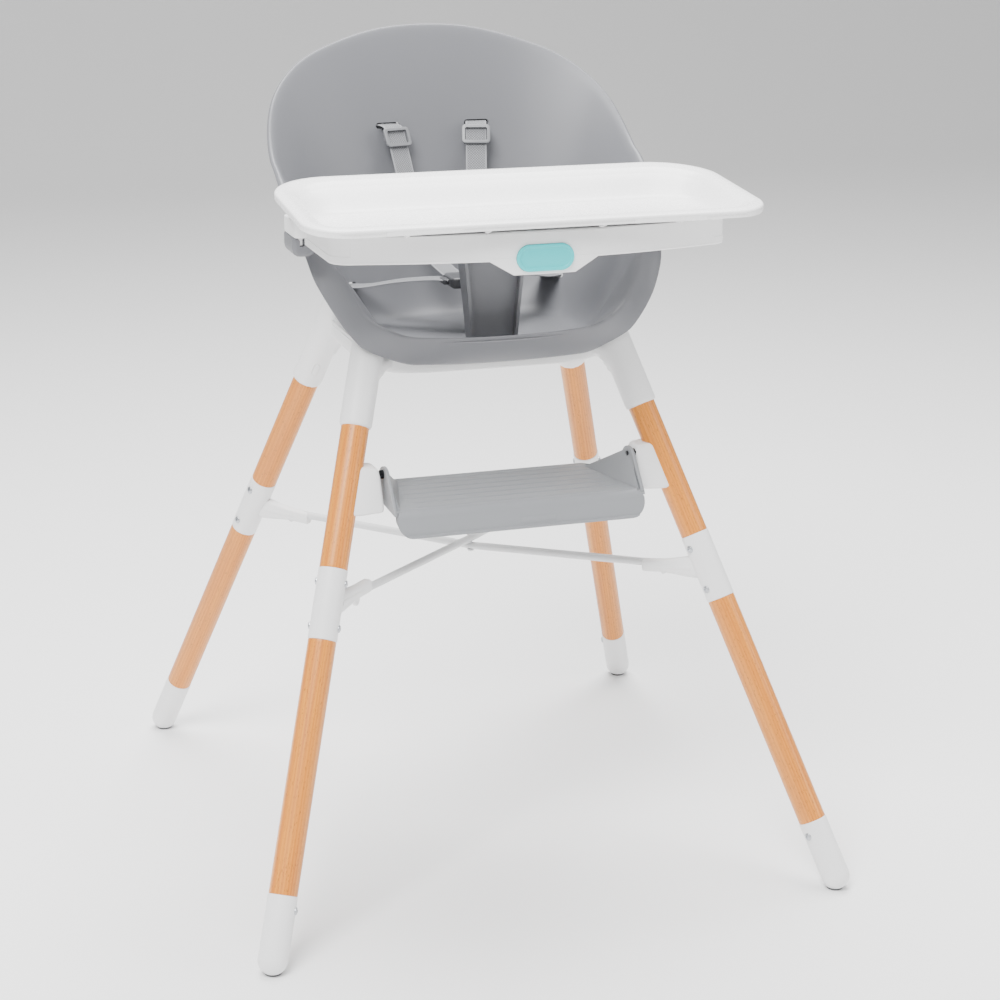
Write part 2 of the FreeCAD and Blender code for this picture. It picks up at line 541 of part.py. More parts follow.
def footrest():
    """Tread with a turned-down lip in front and an upright ear at each end."""
    top, under = TREAD_Z, TREAD_Z - TREAD_THICKNESS
    plan = [V(-TREAD_HALF_FRONT, TREAD_FRONT, under), V(TREAD_HALF_FRONT, TREAD_FRONT, under),
            V(TREAD_HALF_FRONT, TREAD_REAR - 22, under), V(TREAD_HALF_REAR, TREAD_REAR, under),
            V(-TREAD_HALF_REAR, TREAD_REAR, under), V(-TREAD_HALF_FRONT, TREAD_REAR - 22, under)]
    tread = prism(plan, V(0, 0, TREAD_THICKNESS))
    half = TREAD_HALF_FRONT + 4
    lip_section = ((TREAD_FRONT, top), (TREAD_FRONT + 5, top - 4), (TREAD_FRONT + 5, under - 4),
                   (LIP_BOTTOM_Y + 4, LIP_BOTTOM_Z), (LIP_BOTTOM_Y, LIP_BOTTOM_Z))
    lip = prism([V(-half, y, z) for y, z in lip_section], V(2 * half, 0, 0))
    lip = lip.common(rounded_plate(half, LIP_BOTTOM_Z, top + 40, 18, LIP_BOTTOM_Y - 5, TREAD_FRONT + 10))
    ear_outline = ((TREAD_FRONT - 1, top - 6), (TREAD_REAR - 22, top - 2), (TREAD_REAR - 40, top + 8),
                   (PIVOT_Y + 9, PIVOT_Z + 5), (PIVOT_Y - 8, PIVOT_Z + 5))
    ear = prism([V(EAR_OUTER - EAR_THICKNESS, y, z) for y, z in ear_outline], V(EAR_THICKNESS, 0, 0))
    under_rib = block(TREAD_HALF_FRONT - 3, EAR_OUTER, TREAD_FRONT + 2, TREAD_REAR - 24, under - 2, top)
    ears = [mirrored(joined([ear, under_rib]), side) for name, side in SIDES]
    ribs = [block(x - 1.25, x + 1.25, TREAD_FRONT + 3, TREAD_REAR - 12, under - 7, under)
            for x in (-90, -30, 30, 90)]
    body = joined([tread, lip] + ears + ribs)
    grooves = []
    spacing = (TREAD_REAR - TREAD_FRONT - 34) / GROOVES
    for k in range(GROOVES + 1):
        y = TREAD_FRONT + 14 + k * spacing
        grooves.append(block(-TREAD_HALF_REAR - 6, TREAD_HALF_REAR + 6, y, y + 2, top - 0.8, top + 1))
    bore = cylinder(V(-EAR_OUTER - 5, PIVOT_Y, PIVOT_Z), V(EAR_OUTER + 5, PIVOT_Y, PIVOT_Z),
                    PIVOT_R + RUNNING)
    return body.cut(Part.makeCompound(grooves + [bore]))


def footrest_bracket():
    """Rounded block that hugs the inner side of the left front leg."""
    low, high = leg_point(BRACKET_BOTTOM), leg_point(BRACKET_TOP)
    y_low, y_high = -low.y, -high.y
    face = [V(BRACKET_INNER, 0, BRACKET_BOTTOM + 2), V(BRACKET_INNER, 0, BRACKET_TOP - 4),
            V(high.x - 4, 0, BRACKET_TOP), V(high.x + 6, 0, BRACKET_TOP - 10),
            V(low.x + 2, 0, BRACKET_BOTTOM)]
    slab = prism([p + V(0, -200, 0) for p in face], V(0, 100, 0))
    bottom, roof = BRACKET_BOTTOM - 2, BRACKET_TOP + 2
    lean = prism([V(100, y_low - 15, bottom), V(100, y_low - 15 + BRACKET_DEPTH, bottom),
                  V(100, y_high - 15 + BRACKET_DEPTH, roof), V(100, y_high - 15, roof)], V(150, 0, 0))
    solid = slab.common(lean)
    solid = solid.makeFillet(4.0, [e for e in solid.Edges if e.Length > 12])
    leg_back, leg_front = leg_point(BRACKET_BOTTOM - 60), leg_point(BRACKET_TOP + 60)
    leg = cylinder(V(leg_back.x, -leg_back.y, leg_back.z), V(leg_front.x, -leg_front.y, leg_front.z),
                   WOOD_R + FIT)
    return solid.cut(leg)


bracket = footrest_bracket()
pin_bore = cylinder(V(BRACKET_INNER - 10, PIVOT_Y, PIVOT_Z), V(BRACKET_INNER + 14, PIVOT_Y, PIVOT_Z),
                    PIVOT_R + FIT / 2)
bracket = bracket.cut(pin_bore)
screws, bracket_cuts = [], []
for z in (BRACKET_BOTTOM + 12, BRACKET_TOP - 14):
    p = leg_point(z)
    wood = V(p.x, -p.y, z)
    start = V(BRACKET_INNER + 0.5, -p.y + 4, z)
    out = (wood - start).normalize()
    head = start + out * SCREW_HEAD_DEPTH
    bracket_cuts.append(cylinder(start - out * 5, wood + out * SCREW_HEAD_DEPTH, SCREW_R + FIT))
    bracket_cuts.append(cylinder(start - out * 5, head + out * FIT, SCREW_HEAD_R + FIT))
    screws.append(cylinder(start, head, SCREW_HEAD_R).fuse(cylinder(head, wood, SCREW_R)).removeSplitter())
bracket = bracket.cut(Part.makeCompound(bracket_cuts))
for name, side in SIDES:
    save("footrest_bracket_" + name, mirrored(bracket, side))
save("bracket_screws", Part.makeCompound([mirrored(s, side) for s in screws for name, side in SIDES]))
for corner, side, back in CORNERS:
    drilled = Part.makeCompound([mirrored(c, side) for c in bracket_cuts])
    save("upper_leg_%s" % corner, relieved_legs[corner].cut(drilled) if back < 0 else relieved_legs[corner])
pin = cylinder(V(EAR_OUTER - EAR_THICKNESS - 1.5, PIVOT_Y, PIVOT_Z), V(BRACKET_INNER + 13, PIVOT_Y, PIVOT_Z),
               PIVOT_R)
pin = pin.fuse(cylinder(V(EAR_OUTER + GAP, PIVOT_Y, PIVOT_Z), V(BRACKET_INNER - 0.05, PIVOT_Y, PIVOT_Z), 5.0))
save("footrest_pins", Part.makeCompound([mirrored(pin.removeSplitter(), side) for name, side in SIDES]))
save("footrest", footrest())


# ---- tray -----------------------------------------------------------------------------------
def base_outline(inset, z):
    """Outline of the tray base: bowed front, straight sides and back, rounded corners."""
    half, front, rear = BASE_HALF - inset, BASE_FRONT + inset, BASE_REAR - inset
    bow = BASE_FRONT - BASE_BULGE + inset
    corner, back = max(BASE_CORNER - inset, 2), 12.0
    diagonal = 1 - math.sqrt(0.5)
    points = dict(a=V(-half + corner, front, z), m=V(0, bow, z), b=V(half - corner, front, z),
                  c=V(half - corner * diagonal, front + corner * diagonal, z), d=V(half, front + corner, z),
                  e=V(half, rear - back, z), f=V(half - back * diagonal, rear - back * diagonal, z),
                  g=V(half - back, rear, z))
    left = {k: V(-p.x, p.y, p.z) for k, p in points.items()}
    edges = [Part.Arc(points["a"], points["m"], points["b"]), Part.Arc(points["b"], points["c"], points["d"]),
             Part.LineSegment(points["d"], points["e"]), Part.Arc(points["e"], points["f"], points["g"]),
             Part.LineSegment(points["g"], left["g"]), Part.Arc(left["g"], left["f"], left["e"]),
             Part.LineSegment(left["e"], left["d"]), Part.Arc(left["d"], left["c"], left["b"])]
    return Part.Face(Part.Wire([e.toShape() for e in edges]))


def base_body(inset, bottom, top):
    """Solid of the base with its hump in the middle of the front, inset on every side."""
    body = base_outline(inset, bottom).extrude(V(0, 0, top - bottom))
    low, wide, narrow = HUMP_BOTTOM + inset, HUMP_HALF_TOP - inset, HUMP_HALF_BOTTOM - inset * 0.5
    shoulder, ahead = BASE_BOTTOM + 0.5 * (inset > 0), -320.0
    hump = prism([V(-wide, ahead, shoulder), V(-narrow, ahead, low), V(narrow, ahead, low),
                  V(wide, ahead, shoulder)], V(0, HUMP_REAR - inset - ahead, 0))
    column = base_outline(inset, low).extrude(V(0, 0, bottom - low + 2))
    front_part = column.common(hump)
    return joined([body, front_part])


def stadium(width, height, y0, y1, z, x=0.0):
    """Bar along Y with a stadium section."""
    radius, half = height / 2, (width - height) / 2
    ends = [cylinder(V(x + s * half, y0, z), V(x + s * half, y1, z), radius) for s in (1, -1)]
    return joined(ends + [block(x - half, x + half, y0, y1, z - radius, z + radius)])


FASCIA = BASE_FRONT - BASE_BULGE
DECK_UNDER = DECK_TOP - TRAY_WALL
base = base_body(0, BASE_BOTTOM, DECK_TOP)
base = base.cut(base_body(TRAY_WALL, BASE_BOTTOM - 0.01, DECK_UNDER))
rail_block = block(204, RAIL_OUT + 5, RAIL_FRONT - 4 * GAP, 0, 700, RAIL_TOP + GAP)
rail_space = Part.makeCompound([mirrored(rail_block, side) for name, side in SIDES])
base = base.cut(rail_space)
arms = []
for name, side in SIDES:
    arm_block = block(BASE_HALF - 4, RAIL_OUT - 1, RAIL_FRONT - 8, TONGUE_REAR, RAIL_TOP + GAP,
                      DECK_UNDER + 1)
    tongue = block(TONGUE_X - TONGUE_WIDTH / 2, TONGUE_X + TONGUE_WIDTH / 2, RAIL_FRONT + 2, TONGUE_REAR,
                   RAIL_TOP - 9, RAIL_TOP + 1)
    arms.append(mirrored(joined([arm_block, tongue]), side))
base = joined([base] + arms)
stem_width, stem_z0, stem_z1 = 12.0, 740.0, 746.0
button_hole = stadium(BUTTON_WIDTH + 2 * GAP, BUTTON_HEIGHT + 2 * GAP, FASCIA - 5, FASCIA + 8, BUTTON_Z)
latch_window = block(BASE_HALF - 6, RAIL_OUT - 4, LATCH_Y - LATCH_DEPTH / 2 - GAP,
                     LATCH_Y + LATCH_DEPTH / 2 + GAP, LATCH_Z - GAP, LATCH_Z + LATCH_HEIGHT + GAP)
base_cuts = [button_hole] + [mirrored(latch_window, side) for name, side in SIDES]
base_screw_points = [V(sx * 120.0, y, 0) for sx in (1, -1) for y in (-215.0, -110.0)]
bosses = [cylinder(p + V(0, 0, BASE_BOTTOM + 3.7), p + V(0, 0, DECK_UNDER + 0.5), 4.5)
          for p in base_screw_points]
base = joined([base] + bosses).cut(Part.makeCompound(base_cuts + [
    cylinder(p + V(0, 0, BASE_BOTTOM), p + V(0, 0, DECK_UNDER - 3), 1.5) for p in base_screw_points]))
save("tray_base", base)

plate_top, plate_bottom = BASE_BOTTOM + 3.4, BASE_BOTTOM + 0.6
plate = base_outline(TRAY_WALL + GAP, plate_bottom).extrude(V(0, 0, plate_top - plate_bottom))
plate = plate.cut(block(-HUMP_HALF_TOP - 2, HUMP_HALF_TOP + 2, FASCIA - 10, HUMP_REAR + GAP, 700, 760))
screw_holes = [cylinder(p + V(0, 0, 700), p + V(0, 0, 760), 1.5 + FIT) for p in base_screw_points]
save("tray_bottom_plate", plate.cut(rail_space).cut(Part.makeCompound(screw_holes)))
save("tray_screws", Part.makeCompound([
    turned([(0, plate_bottom - 1.6), (3, plate_bottom - 1.2), (3, plate_bottom), (1.5, plate_bottom),
            (1.5, plate_bottom + 14), (0, plate_bottom + 14)], p, V(0, 0, 1)) for p in base_screw_points]))

# the push button, its stem and the slotted cam plate that drives the two latches
button = stadium(BUTTON_WIDTH, BUTTON_HEIGHT, FASCIA - BUTTON_PROUD, FASCIA + 6, BUTTON_Z)
button_face = FASCIA - BUTTON_PROUD
dish = stadium(BUTTON_WIDTH - 6, BUTTON_HEIGHT - 6, button_face - 1, button_face + 1.2, BUTTON_Z)
flange_plate = stadium(BUTTON_WIDTH + 5, BUTTON_HEIGHT + 2.4, FASCIA + TRAY_WALL + GAP + 0.6, FASCIA + 6,
                       BUTTON_Z)
flange_plate = flange_plate.common(block(-60, 60, -300, -200, HUMP_BOTTOM + TRAY_WALL + GAP,
                                         DECK_UNDER - GAP))
stem = block(-stem_width / 2, stem_width / 2, FASCIA + 5, LATCH_Y - 12, stem_z0, stem_z1)
cam = block(-34, 34, LATCH_Y - 14, LATCH_Y + 6, stem_z0, stem_z0 + 4)
PIN_X, PIN_R = 22.0, 2.5
cam_slots = []
for name, side in SIDES:
    start = V(side * PIN_X, LATCH_Y, 0)
    finish = start + V(-side * LATCH_TRAVEL, -BUTTON_TRAVEL, 0)
    ends = [cylinder(p + V(0, 0, stem_z0 - 1), p + V(0, 0, stem_z1), PIN_R + GAP) for p in (start, finish)]
    along = (finish - start).normalize()
    across = V(-along.y, along.x, 0) * (PIN_R + GAP)
    web = prism([start + across + V(0, 0, stem_z0 - 1), finish + across + V(0, 0, stem_z0 - 1),
                 finish - across + V(0, 0, stem_z0 - 1), start - across + V(0, 0, stem_z0 - 1)], V(0, 0, 7))
    cam_slots.append(joined(ends + [web]))
button = joined([button.cut(dish), flange_plate, stem, cam]).cut(Part.makeCompound(cam_slots))
save("release_button", button)

SPRING_R, SPRING_WIRE, SPRING_Z = 3.5, 0.9, 717.0
spring_y0, spring_y1 = FASCIA + 6 + GAP, HUMP_REAR - TRAY_WALL - GAP
spring_ends = V(0, spring_y0, SPRING_Z), V(0, spring_y1, SPRING_Z)
spring = cylinder(*spring_ends, SPRING_R + SPRING_WIRE / 2)
spring = spring.cut(cylinder(*spring_ends, SPRING_R - SPRING_WIRE / 2))
save("button_spring", spring)

for name, side in SIDES:
    bar = block(14, BASE_HALF + 3, LATCH_Y - LATCH_DEPTH / 2, LATCH_Y + LATCH_DEPTH / 2, LATCH_Z,
                LATCH_Z + LATCH_HEIGHT)
    cam_pin = cylinder(V(PIN_X, LATCH_Y, LATCH_Z + 1), V(PIN_X, LATCH_Y, stem_z0 + 5), PIN_R)
    save("latch_" + name, mirrored(joined([bar, cam_pin]), side))


def cover_outline(inset, z0, z1):
    """Upright column with the outline of the cover: gentle front corners, rounder rear ones."""
    half, front, rear = COVER_HALF - inset, COVER_FRONT + inset, COVER_REAR - inset
    front_r, rear_r = COVER_FRONT_CORNER - inset, COVER_REAR_CORNER - inset
    column = block(-half, half, front, rear, z0, z1)
    front_edges = [e for e in column.Edges if e.BoundBox.ZLength > 1 and e.BoundBox.YMax < front + 1]
    column = column.makeFillet(front_r, front_edges)
    rear_edges = [e for e in column.Edges if e.BoundBox.ZLength > 1 and e.BoundBox.YMin > rear - 1
                  and e.BoundBox.XLength < 1 and abs(e.BoundBox.XMin) > half - 1]
    return column.makeFillet(rear_r, rear_edges)


def cover_slab(low, high):
    """Slab under the sloping plane of the rim, between two depths below it."""
    front, rear = COVER_FRONT - 10, COVER_REAR + 10
    rise = (COVER_RIM_REAR - COVER_RIM_FRONT) / (COVER_REAR - COVER_FRONT) * 10
    points = [V(-300, front, COVER_RIM_FRONT - rise - high), V(-300, rear, COVER_RIM_REAR + rise - high),
              V(-300, rear, COVER_RIM_REAR + rise - low), V(-300, front, COVER_RIM_FRONT - rise - low)]
    return prism(points, V(600, 0, 0))


def tray_cover():
    """Dish that lies on the base: level floor, low front rim, raised rear rim."""
    bottom, roof = DECK_TOP + COVER_LIFT, COVER_RIM_REAR + 20
    rim = cover_outline(0, bottom, roof).common(cover_slab(0, COVER_BAND))
    wall = cover_outline(COVER_WALL, bottom, roof).common(cover_slab(0, 100))
    well = cover_outline(2 * COVER_WALL, COVER_FLOOR, roof)
    return joined([rim, wall]).cut(well)


save("tray_cover", tray_cover())


def arm_rail():
    """Ledge on the outside of the seat that the tray's arm slides on."""
    ledge = block(190, RAIL_OUT, RAIL_FRONT, RAIL_REAR, RAIL_BOTTOM, RAIL_TOP)
    ledge = ledge.makeFillet(8, [e for e in ledge.Edges if e.BoundBox.YLength > 50 and e.BoundBox.XMin > 200
                                 and e.BoundBox.ZMax < RAIL_BOTTOM + 1])
    ledge = ledge.makeFillet(5, [e for e in ledge.Edges if abs(e.BoundBox.YMax - RAIL_FRONT) < 0.01
                                 and e.BoundBox.ZLength > 5 and e.BoundBox.XMin > 200])
    inside = block(100, 206, RAIL_FRONT - 1, -66, 700, 760)
    corner = prism([V(RAIL_OUT + 1, RAIL_REAR - 34, 700), V(RAIL_OUT + 1, RAIL_REAR + 1, 700),
                    V(205, RAIL_REAR + 1, 700)], V(0, 0, 60))
    slot = block(TONGUE_X - TONGUE_WIDTH / 2 - GAP, TONGUE_X + TONGUE_WIDTH / 2 + GAP, RAIL_FRONT - 1,
                 TONGUE_REAR + 2, RAIL_TOP - 9.5, RAIL_TOP + 1)
    return ledge.cut(Part.makeCompound([inside, corner])).cut(clear_of_seat).cut(slot)


rail = max(arm_rail().Solids, key=lambda solid: solid.Volume)
for name, side in SIDES:
    save("arm_rail_" + name, mirrored(rail, side))


# ---- crotch post ----------------------------------------------------------------------------
def tapered(bottom, top):
    """Straight bar between a low and a high rectangle, each (x0, x1, y0, y1, z)."""
    wires = []
    for x0, x1, y0, y1, z in (bottom, top):
        wires.append(Part.makePolygon([V(x0, y0, z), V(x1, y0, z), V(x1, y1, z), V(x0, y1, z), V(x0, y0, z)]))
    return Part.makeLoft(wires, True)


foot, head = POST_FOOT_HALF, POST_TOP_HALF
foot_z = PAN_Z + GAP
web = tapered((-foot, foot, POST_Y - 2, POST_Y + 2, foot_z + 9),
              (-head, head, POST_Y - 2, POST_Y + 2, POST_TOP))
pieces = [web]
for name, side in SIDES:
    x = sorted((side * (foot - 4), side * foot))
    top_x = sorted((side * (head - 4), side * head))
    pieces.append(tapered((x[0], x[1], POST_Y - 10, POST_Y + 12, foot_z),
                          (top_x[0], top_x[1], POST_Y - 14, POST_Y + 16, POST_TOP)))
    peg = V(side * (foot - 2), POST_Y, 0)
    pieces.append(cylinder(peg + V(0, 0, PAN_Z - WALL + 0.5), peg + V(0, 0, foot_z + 2), POST_PEG_R))
save("crotch_post", joined(pieces))


# ---- harness --------------------------------------------------------------------------------
def webbing(points, width=WEBBING, thickness=WEBBING_THICKNESS):
    """Flat strap along a path that lies in one upright plane, its width square to that plane."""
    start, end = points[0], points[-1]
    run = V(end.x - start.x, end.y - start.y, 0).normalize()
    across = V(-run.y, run.x, 0)
    upper_edge, lower_edge = [], []
    for i, p in enumerate(points):
        ahead = points[min(i + 1, len(points) - 1)] - points[max(i - 1, 0)]
        normal = across.cross(ahead).normalize() * (thickness / 2)
        upper_edge.append(p + normal - across * (width / 2))
        lower_edge.append(p - normal - across * (width / 2))
    return prism(upper_edge + lower_edge[::-1], across * width)


def along(start, end, stations):
    """Path between two plan points, through (share of the way, height) stations."""
    return [V(start[0] + (end[0] - start[0]) * u, start[1] + (end[1] - start[1]) * u, z) for u, z in stations]


buckle_space = block(-27.1, 27.1, -21.1, 20.1, 647.9, 661.1)
anchor_blocks = [block(side * STRAP_X - 18, side * STRAP_X + 18, 165, 169, 806, 824) for name, side in SIDES]
anchor_space = block(0, 100, 164.9, 190, 700, 900)
shoulder_start, shoulder_end = (STRAP_X, 168.0), (16.0, 17.0)
SHOULDER_PATH = ((0.0, 815), (0.12, 815.5), (0.2, 810), (0.3, 778), (0.4, 744), (0.52, 712), (0.66, 686),
                 (0.82, 668), (1.0, 658))
shoulder = webbing(along(shoulder_start, shoulder_end, SHOULDER_PATH))
shoulder = largest(shoulder.cut(Part.makeCompound([buckle_space, anchor_space])))
for name, side in SIDES:
    save("shoulder_strap_" + name, mirrored(shoulder, side))

slider = block(-17, 17, -5, 5, -13, 13).cut(block(-13.2, 13.2, -8, 8, -9, 9))
slider = slider.fuse(block(-14, 14, -4, -1.6, -2, 2)).removeSplitter()
strap_run = shoulder_start[0] - shoulder_end[0], shoulder_start[1] - shoulder_end[1]
slider_turn = math.degrees(math.atan2(*strap_run))
slider_tilt = FreeCAD.Rotation(V(0, 0, 1), -slider_turn).multiply(FreeCAD.Rotation(V(1, 0, 0), -27))
slider.Placement = FreeCAD.Placement(V(STRAP_X - 9, 136.5, 802), slider_tilt)
strap_space = webbing(along(shoulder_start, shoulder_end, SHOULDER_PATH), WEBBING + 2 * GAP,
                      WEBBING_THICKNESS + 2 * GAP)
slider = slider.cut(strap_space)
save("strap_sliders", Part.makeCompound([mirrored(max(slider.Solids, key=lambda s: s.Volume), side)
                                         for name, side in SIDES]))

waist = webbing(along((WAIST_SLOT.x + 8, WAIST_SLOT.y + 6), (22.0, 0.0), ((0.0, 640), (0.2, 642), (0.5, 650),
                                                                         (0.8, 655), (1.0, 656))))
waist = largest(waist.cut(buckle_space))
save("waist_straps", Part.makeCompound([mirrored(waist, side) for name, side in SIDES]))
buckle_body = block(-27, 27, -21, 20, 648, 661)
buckle_body = buckle_body.makeFillet(4, [e for e in buckle_body.Edges if e.BoundBox.ZLength > 10])
save("lap_buckle", buckle_body)
CROTCH_PATH = ((0.0, 589), (0.3, 612), (0.7, 634), (1.0, 651))
crotch = webbing(along((0, CROTCH_SLOT_Y), (0, CROTCH_SLOT_Y + 18), CROTCH_PATH))
save("crotch_strap", largest(crotch.cut(buckle_space)))
save("strap_anchors", Part.makeCompound(anchor_blocks))
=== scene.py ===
"""Looks of a baby high chair: bucket seat, sliding tray, footrest and harness on four beech legs.

Lengths in this file are millimetres until they reach a mesh, where they become metres. +Z is up,
the chair faces -Y and the sitter's left hand is on +X.
"""
import json
import math

import bmesh
import bpy
import numpy as np
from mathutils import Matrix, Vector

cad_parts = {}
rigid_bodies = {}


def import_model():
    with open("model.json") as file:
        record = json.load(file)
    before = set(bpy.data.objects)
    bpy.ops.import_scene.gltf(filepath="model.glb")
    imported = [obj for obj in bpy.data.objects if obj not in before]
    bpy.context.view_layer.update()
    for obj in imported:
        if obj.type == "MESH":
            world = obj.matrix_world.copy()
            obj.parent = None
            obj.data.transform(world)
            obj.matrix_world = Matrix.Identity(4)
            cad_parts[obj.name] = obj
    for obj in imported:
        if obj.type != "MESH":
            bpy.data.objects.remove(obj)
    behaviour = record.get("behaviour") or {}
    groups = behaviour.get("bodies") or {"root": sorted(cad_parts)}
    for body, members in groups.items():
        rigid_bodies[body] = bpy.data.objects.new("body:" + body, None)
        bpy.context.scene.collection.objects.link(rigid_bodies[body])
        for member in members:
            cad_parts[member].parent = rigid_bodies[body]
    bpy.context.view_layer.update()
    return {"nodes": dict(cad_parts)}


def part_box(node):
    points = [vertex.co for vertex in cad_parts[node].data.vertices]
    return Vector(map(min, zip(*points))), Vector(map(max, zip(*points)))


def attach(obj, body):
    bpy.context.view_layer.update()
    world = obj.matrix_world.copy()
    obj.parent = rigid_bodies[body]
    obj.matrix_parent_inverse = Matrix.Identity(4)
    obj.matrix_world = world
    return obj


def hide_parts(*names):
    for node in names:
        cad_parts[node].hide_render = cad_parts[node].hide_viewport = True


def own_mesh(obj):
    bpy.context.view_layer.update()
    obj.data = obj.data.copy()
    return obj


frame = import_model()


# ---- floor, light and camera ----------------------------------------------------------------
# A seamless pale floor that runs up into the background, three large soft lamps and a long lens
# at a standing adult's height.
def linear(colour):
    """An sRGB hex colour as linear red, green, blue and alpha."""
    parts = np.array([int(colour[i:i + 2], 16) for i in (1, 3, 5)]) / 255
    bent = np.where(parts <= 0.04045, parts / 12.92, ((parts + 0.055) / 1.055) ** 2.4)
    return (*[float(v) for v in bent], 1.0)


def put(material, kind, links=None, **settings):
    """Adds one shader node, sets its properties and feeds its sockets with values or outputs."""
    made = material.node_tree.nodes.new("ShaderNode" + kind)
    for name, value in settings.items():
        setattr(made, name, value)
    for socket, value in (links or {}).items():
        if isinstance(value, bpy.types.NodeSocket):
            material.node_tree.links.new(value, made.inputs[socket])
        else:
            made.inputs[socket].default_value = value
    return made


def new_material(name):
    """An empty node material and its output node."""
    material = bpy.data.materials.new(name)
    material.use_nodes = True
    material.node_tree.nodes.clear()
    return material, material.node_tree.nodes.new("ShaderNodeOutputMaterial")


def new_object(name, data):
    """An object in the scene."""
    made = bpy.data.objects.new(name, data)
    bpy.context.scene.collection.objects.link(made)
    return made


def floor_material():
    """Matt painted studio floor."""
    material, out = new_material("studio_floor")
    paint = put(material, "BsdfPrincipled", {"Base Color": linear("#f4f4f4"), "Roughness": 0.9})
    material.node_tree.links.new(paint.outputs[0], out.inputs[0])
    return material


def make_floor():
    """Level floor that curves up behind the chair through a quarter circle."""
    half, front, rear, radius = 14.0, -14.0, 5.0, 3.0
    turn = np.linspace(0, math.pi / 2, 24)
    run = np.concatenate([[front], rear + radius * np.sin(turn), [rear + radius]])
    rise = np.concatenate([[0.0], radius * (1 - np.cos(turn)), [9.0]])
    points = np.concatenate([np.stack([np.full_like(run, x), run, rise], 1) for x in (-half, half)])
    count = len(run)
    faces = [(i, i + count, i + count + 1, i + 1) for i in range(count - 1)]
    mesh = bpy.data.meshes.new("studio_floor")
    mesh.from_pydata(points.tolist(), [], faces)
    mesh.shade_smooth()
    mesh.materials.append(floor_material())
    new_object("studio_floor", mesh)


def soft_lamp(name, place, aim, size, power):
    """A square lamp that looks at a point."""
    lamp = bpy.data.lights.new(name, "AREA")
    lamp.size, lamp.energy = size, power
    holder = new_object(name, lamp)
    holder.location = place
    along = np.array(aim) - np.array(place)
    flat = math.hypot(along[0], along[1])
    holder.rotation_euler = (math.atan2(flat, -along[2]), 0, math.atan2(-along[0], along[1]))


def make_camera():
    """Long lens, looking down a little from the chair's right front."""
    lens = bpy.data.cameras.new("camera")
    lens.lens, lens.sensor_width = 78.26, 36.0
    camera = new_object("camera", lens)
    camera.location = (-0.7178, -2.3676, 1.1321)
    camera.rotation_euler = (math.radians(90 - 16.726), 0, math.radians(-17.676))
    bpy.context.scene.camera = camera


def light_room():
    """Even white surroundings."""
    world = bpy.data.worlds.new("studio")
    world.use_nodes = True
    world.node_tree.nodes["Background"].inputs["Color"].default_value = linear("#ffffff")
    world.node_tree.nodes["Background"].inputs["Strength"].default_value = 0.62
    bpy.context.scene.world = world


make_floor()
make_camera()
light_room()
soft_lamp("key_lamp", (-1.5, -1.7, 3.4), (0, 0, 0.5), 1.8, 235.0)
soft_lamp("side_lamp", (2.4, -1.6, 1.6), (0, 0, 0.5), 1.6, 26.0)
soft_lamp("top_lamp", (0.3, 0.7, 3.4), (0, 0, 0.6), 2.2, 240.0)


# ---- beech legs -----------------------------------------------------------------------------
# Eight turned bars of beech in a clear satin lacquer: a lower and an upper one at each corner,
# whose thinner ends are glued and bolted into the collars and caps. Beech is straight-grained,
# with short dark ray flecks.
FOOT_X, FOOT_Y, LEAN_X, LEAN_Y = 329.0, 356.5, 0.3083, 0.4545
WOOD_R, SPIGOT_R, SPIGOT_LENGTH = 15.5, 12.0, 33.0
CAP_TOP, COLLAR_BOTTOM, COLLAR_TOP, SLEEVE_BOTTOM, LEG_TOP = 74.5, 313.0, 382.0, 521.0, 586.0
CORNERS = {"front_left": (1, -1), "front_right": (-1, -1), "rear_left": (1, 1), "rear_right": (-1, 1)}
STRETCH = math.sqrt(1 + LEAN_X ** 2 + LEAN_Y ** 2)


def leg_point(corner, z):
    """Point of a leg's axis at a height."""
    side, back = CORNERS[corner]
    return np.array([side * (FOOT_X - LEAN_X * z), back * (FOOT_Y - LEAN_Y * z), z])


def upright_frame(origin, axis, facing=(0.0, -1.0, 0.0)):
    """Origin and three square directions as the columns of a 4 by 4: the third is the axis, the
    second lies as near as it can to the way that is faced."""
    axis = np.array(axis, float) / np.linalg.norm(axis)
    second = np.array(facing, float) - axis * np.dot(facing, axis)
    second /= np.linalg.norm(second)
    place = np.eye(4)
    place[:3, 0], place[:3, 1], place[:3, 2], place[:3, 3] = np.cross(second, axis), second, axis, origin
    return place


def leg_frame(corner, z):
    """Place on a leg's axis: third direction up the leg, second one towards the front."""
    return upright_frame(leg_point(corner, z), leg_point(corner, z + 1) - leg_point(corner, z))


def moved(place, points):
    """Points taken from a place's own directions to the chair's."""
    return points @ place[:3, :3].T + place[:3, 3]


def grid_faces(rows, columns, around=False):
    """Quads of a grid of points stored row by row; the columns may close on themselves."""
    count = columns if around else columns - 1
    r, c = np.meshgrid(np.arange(rows - 1), np.arange(count), indexing="ij")
    n = (c + 1) % columns
    quads = np.stack([r * columns + c, r * columns + n, (r + 1) * columns + n, (r + 1) * columns + c], -1)
    return quads.reshape(-1, 4)


def quadratic(start, corner, finish, t):
    """Point of the quadratic curve that leaves and arrives along the two sides of a corner."""
    return start * (1 - t) ** 2 + corner * 2 * t * (1 - t) + finish * t ** 2


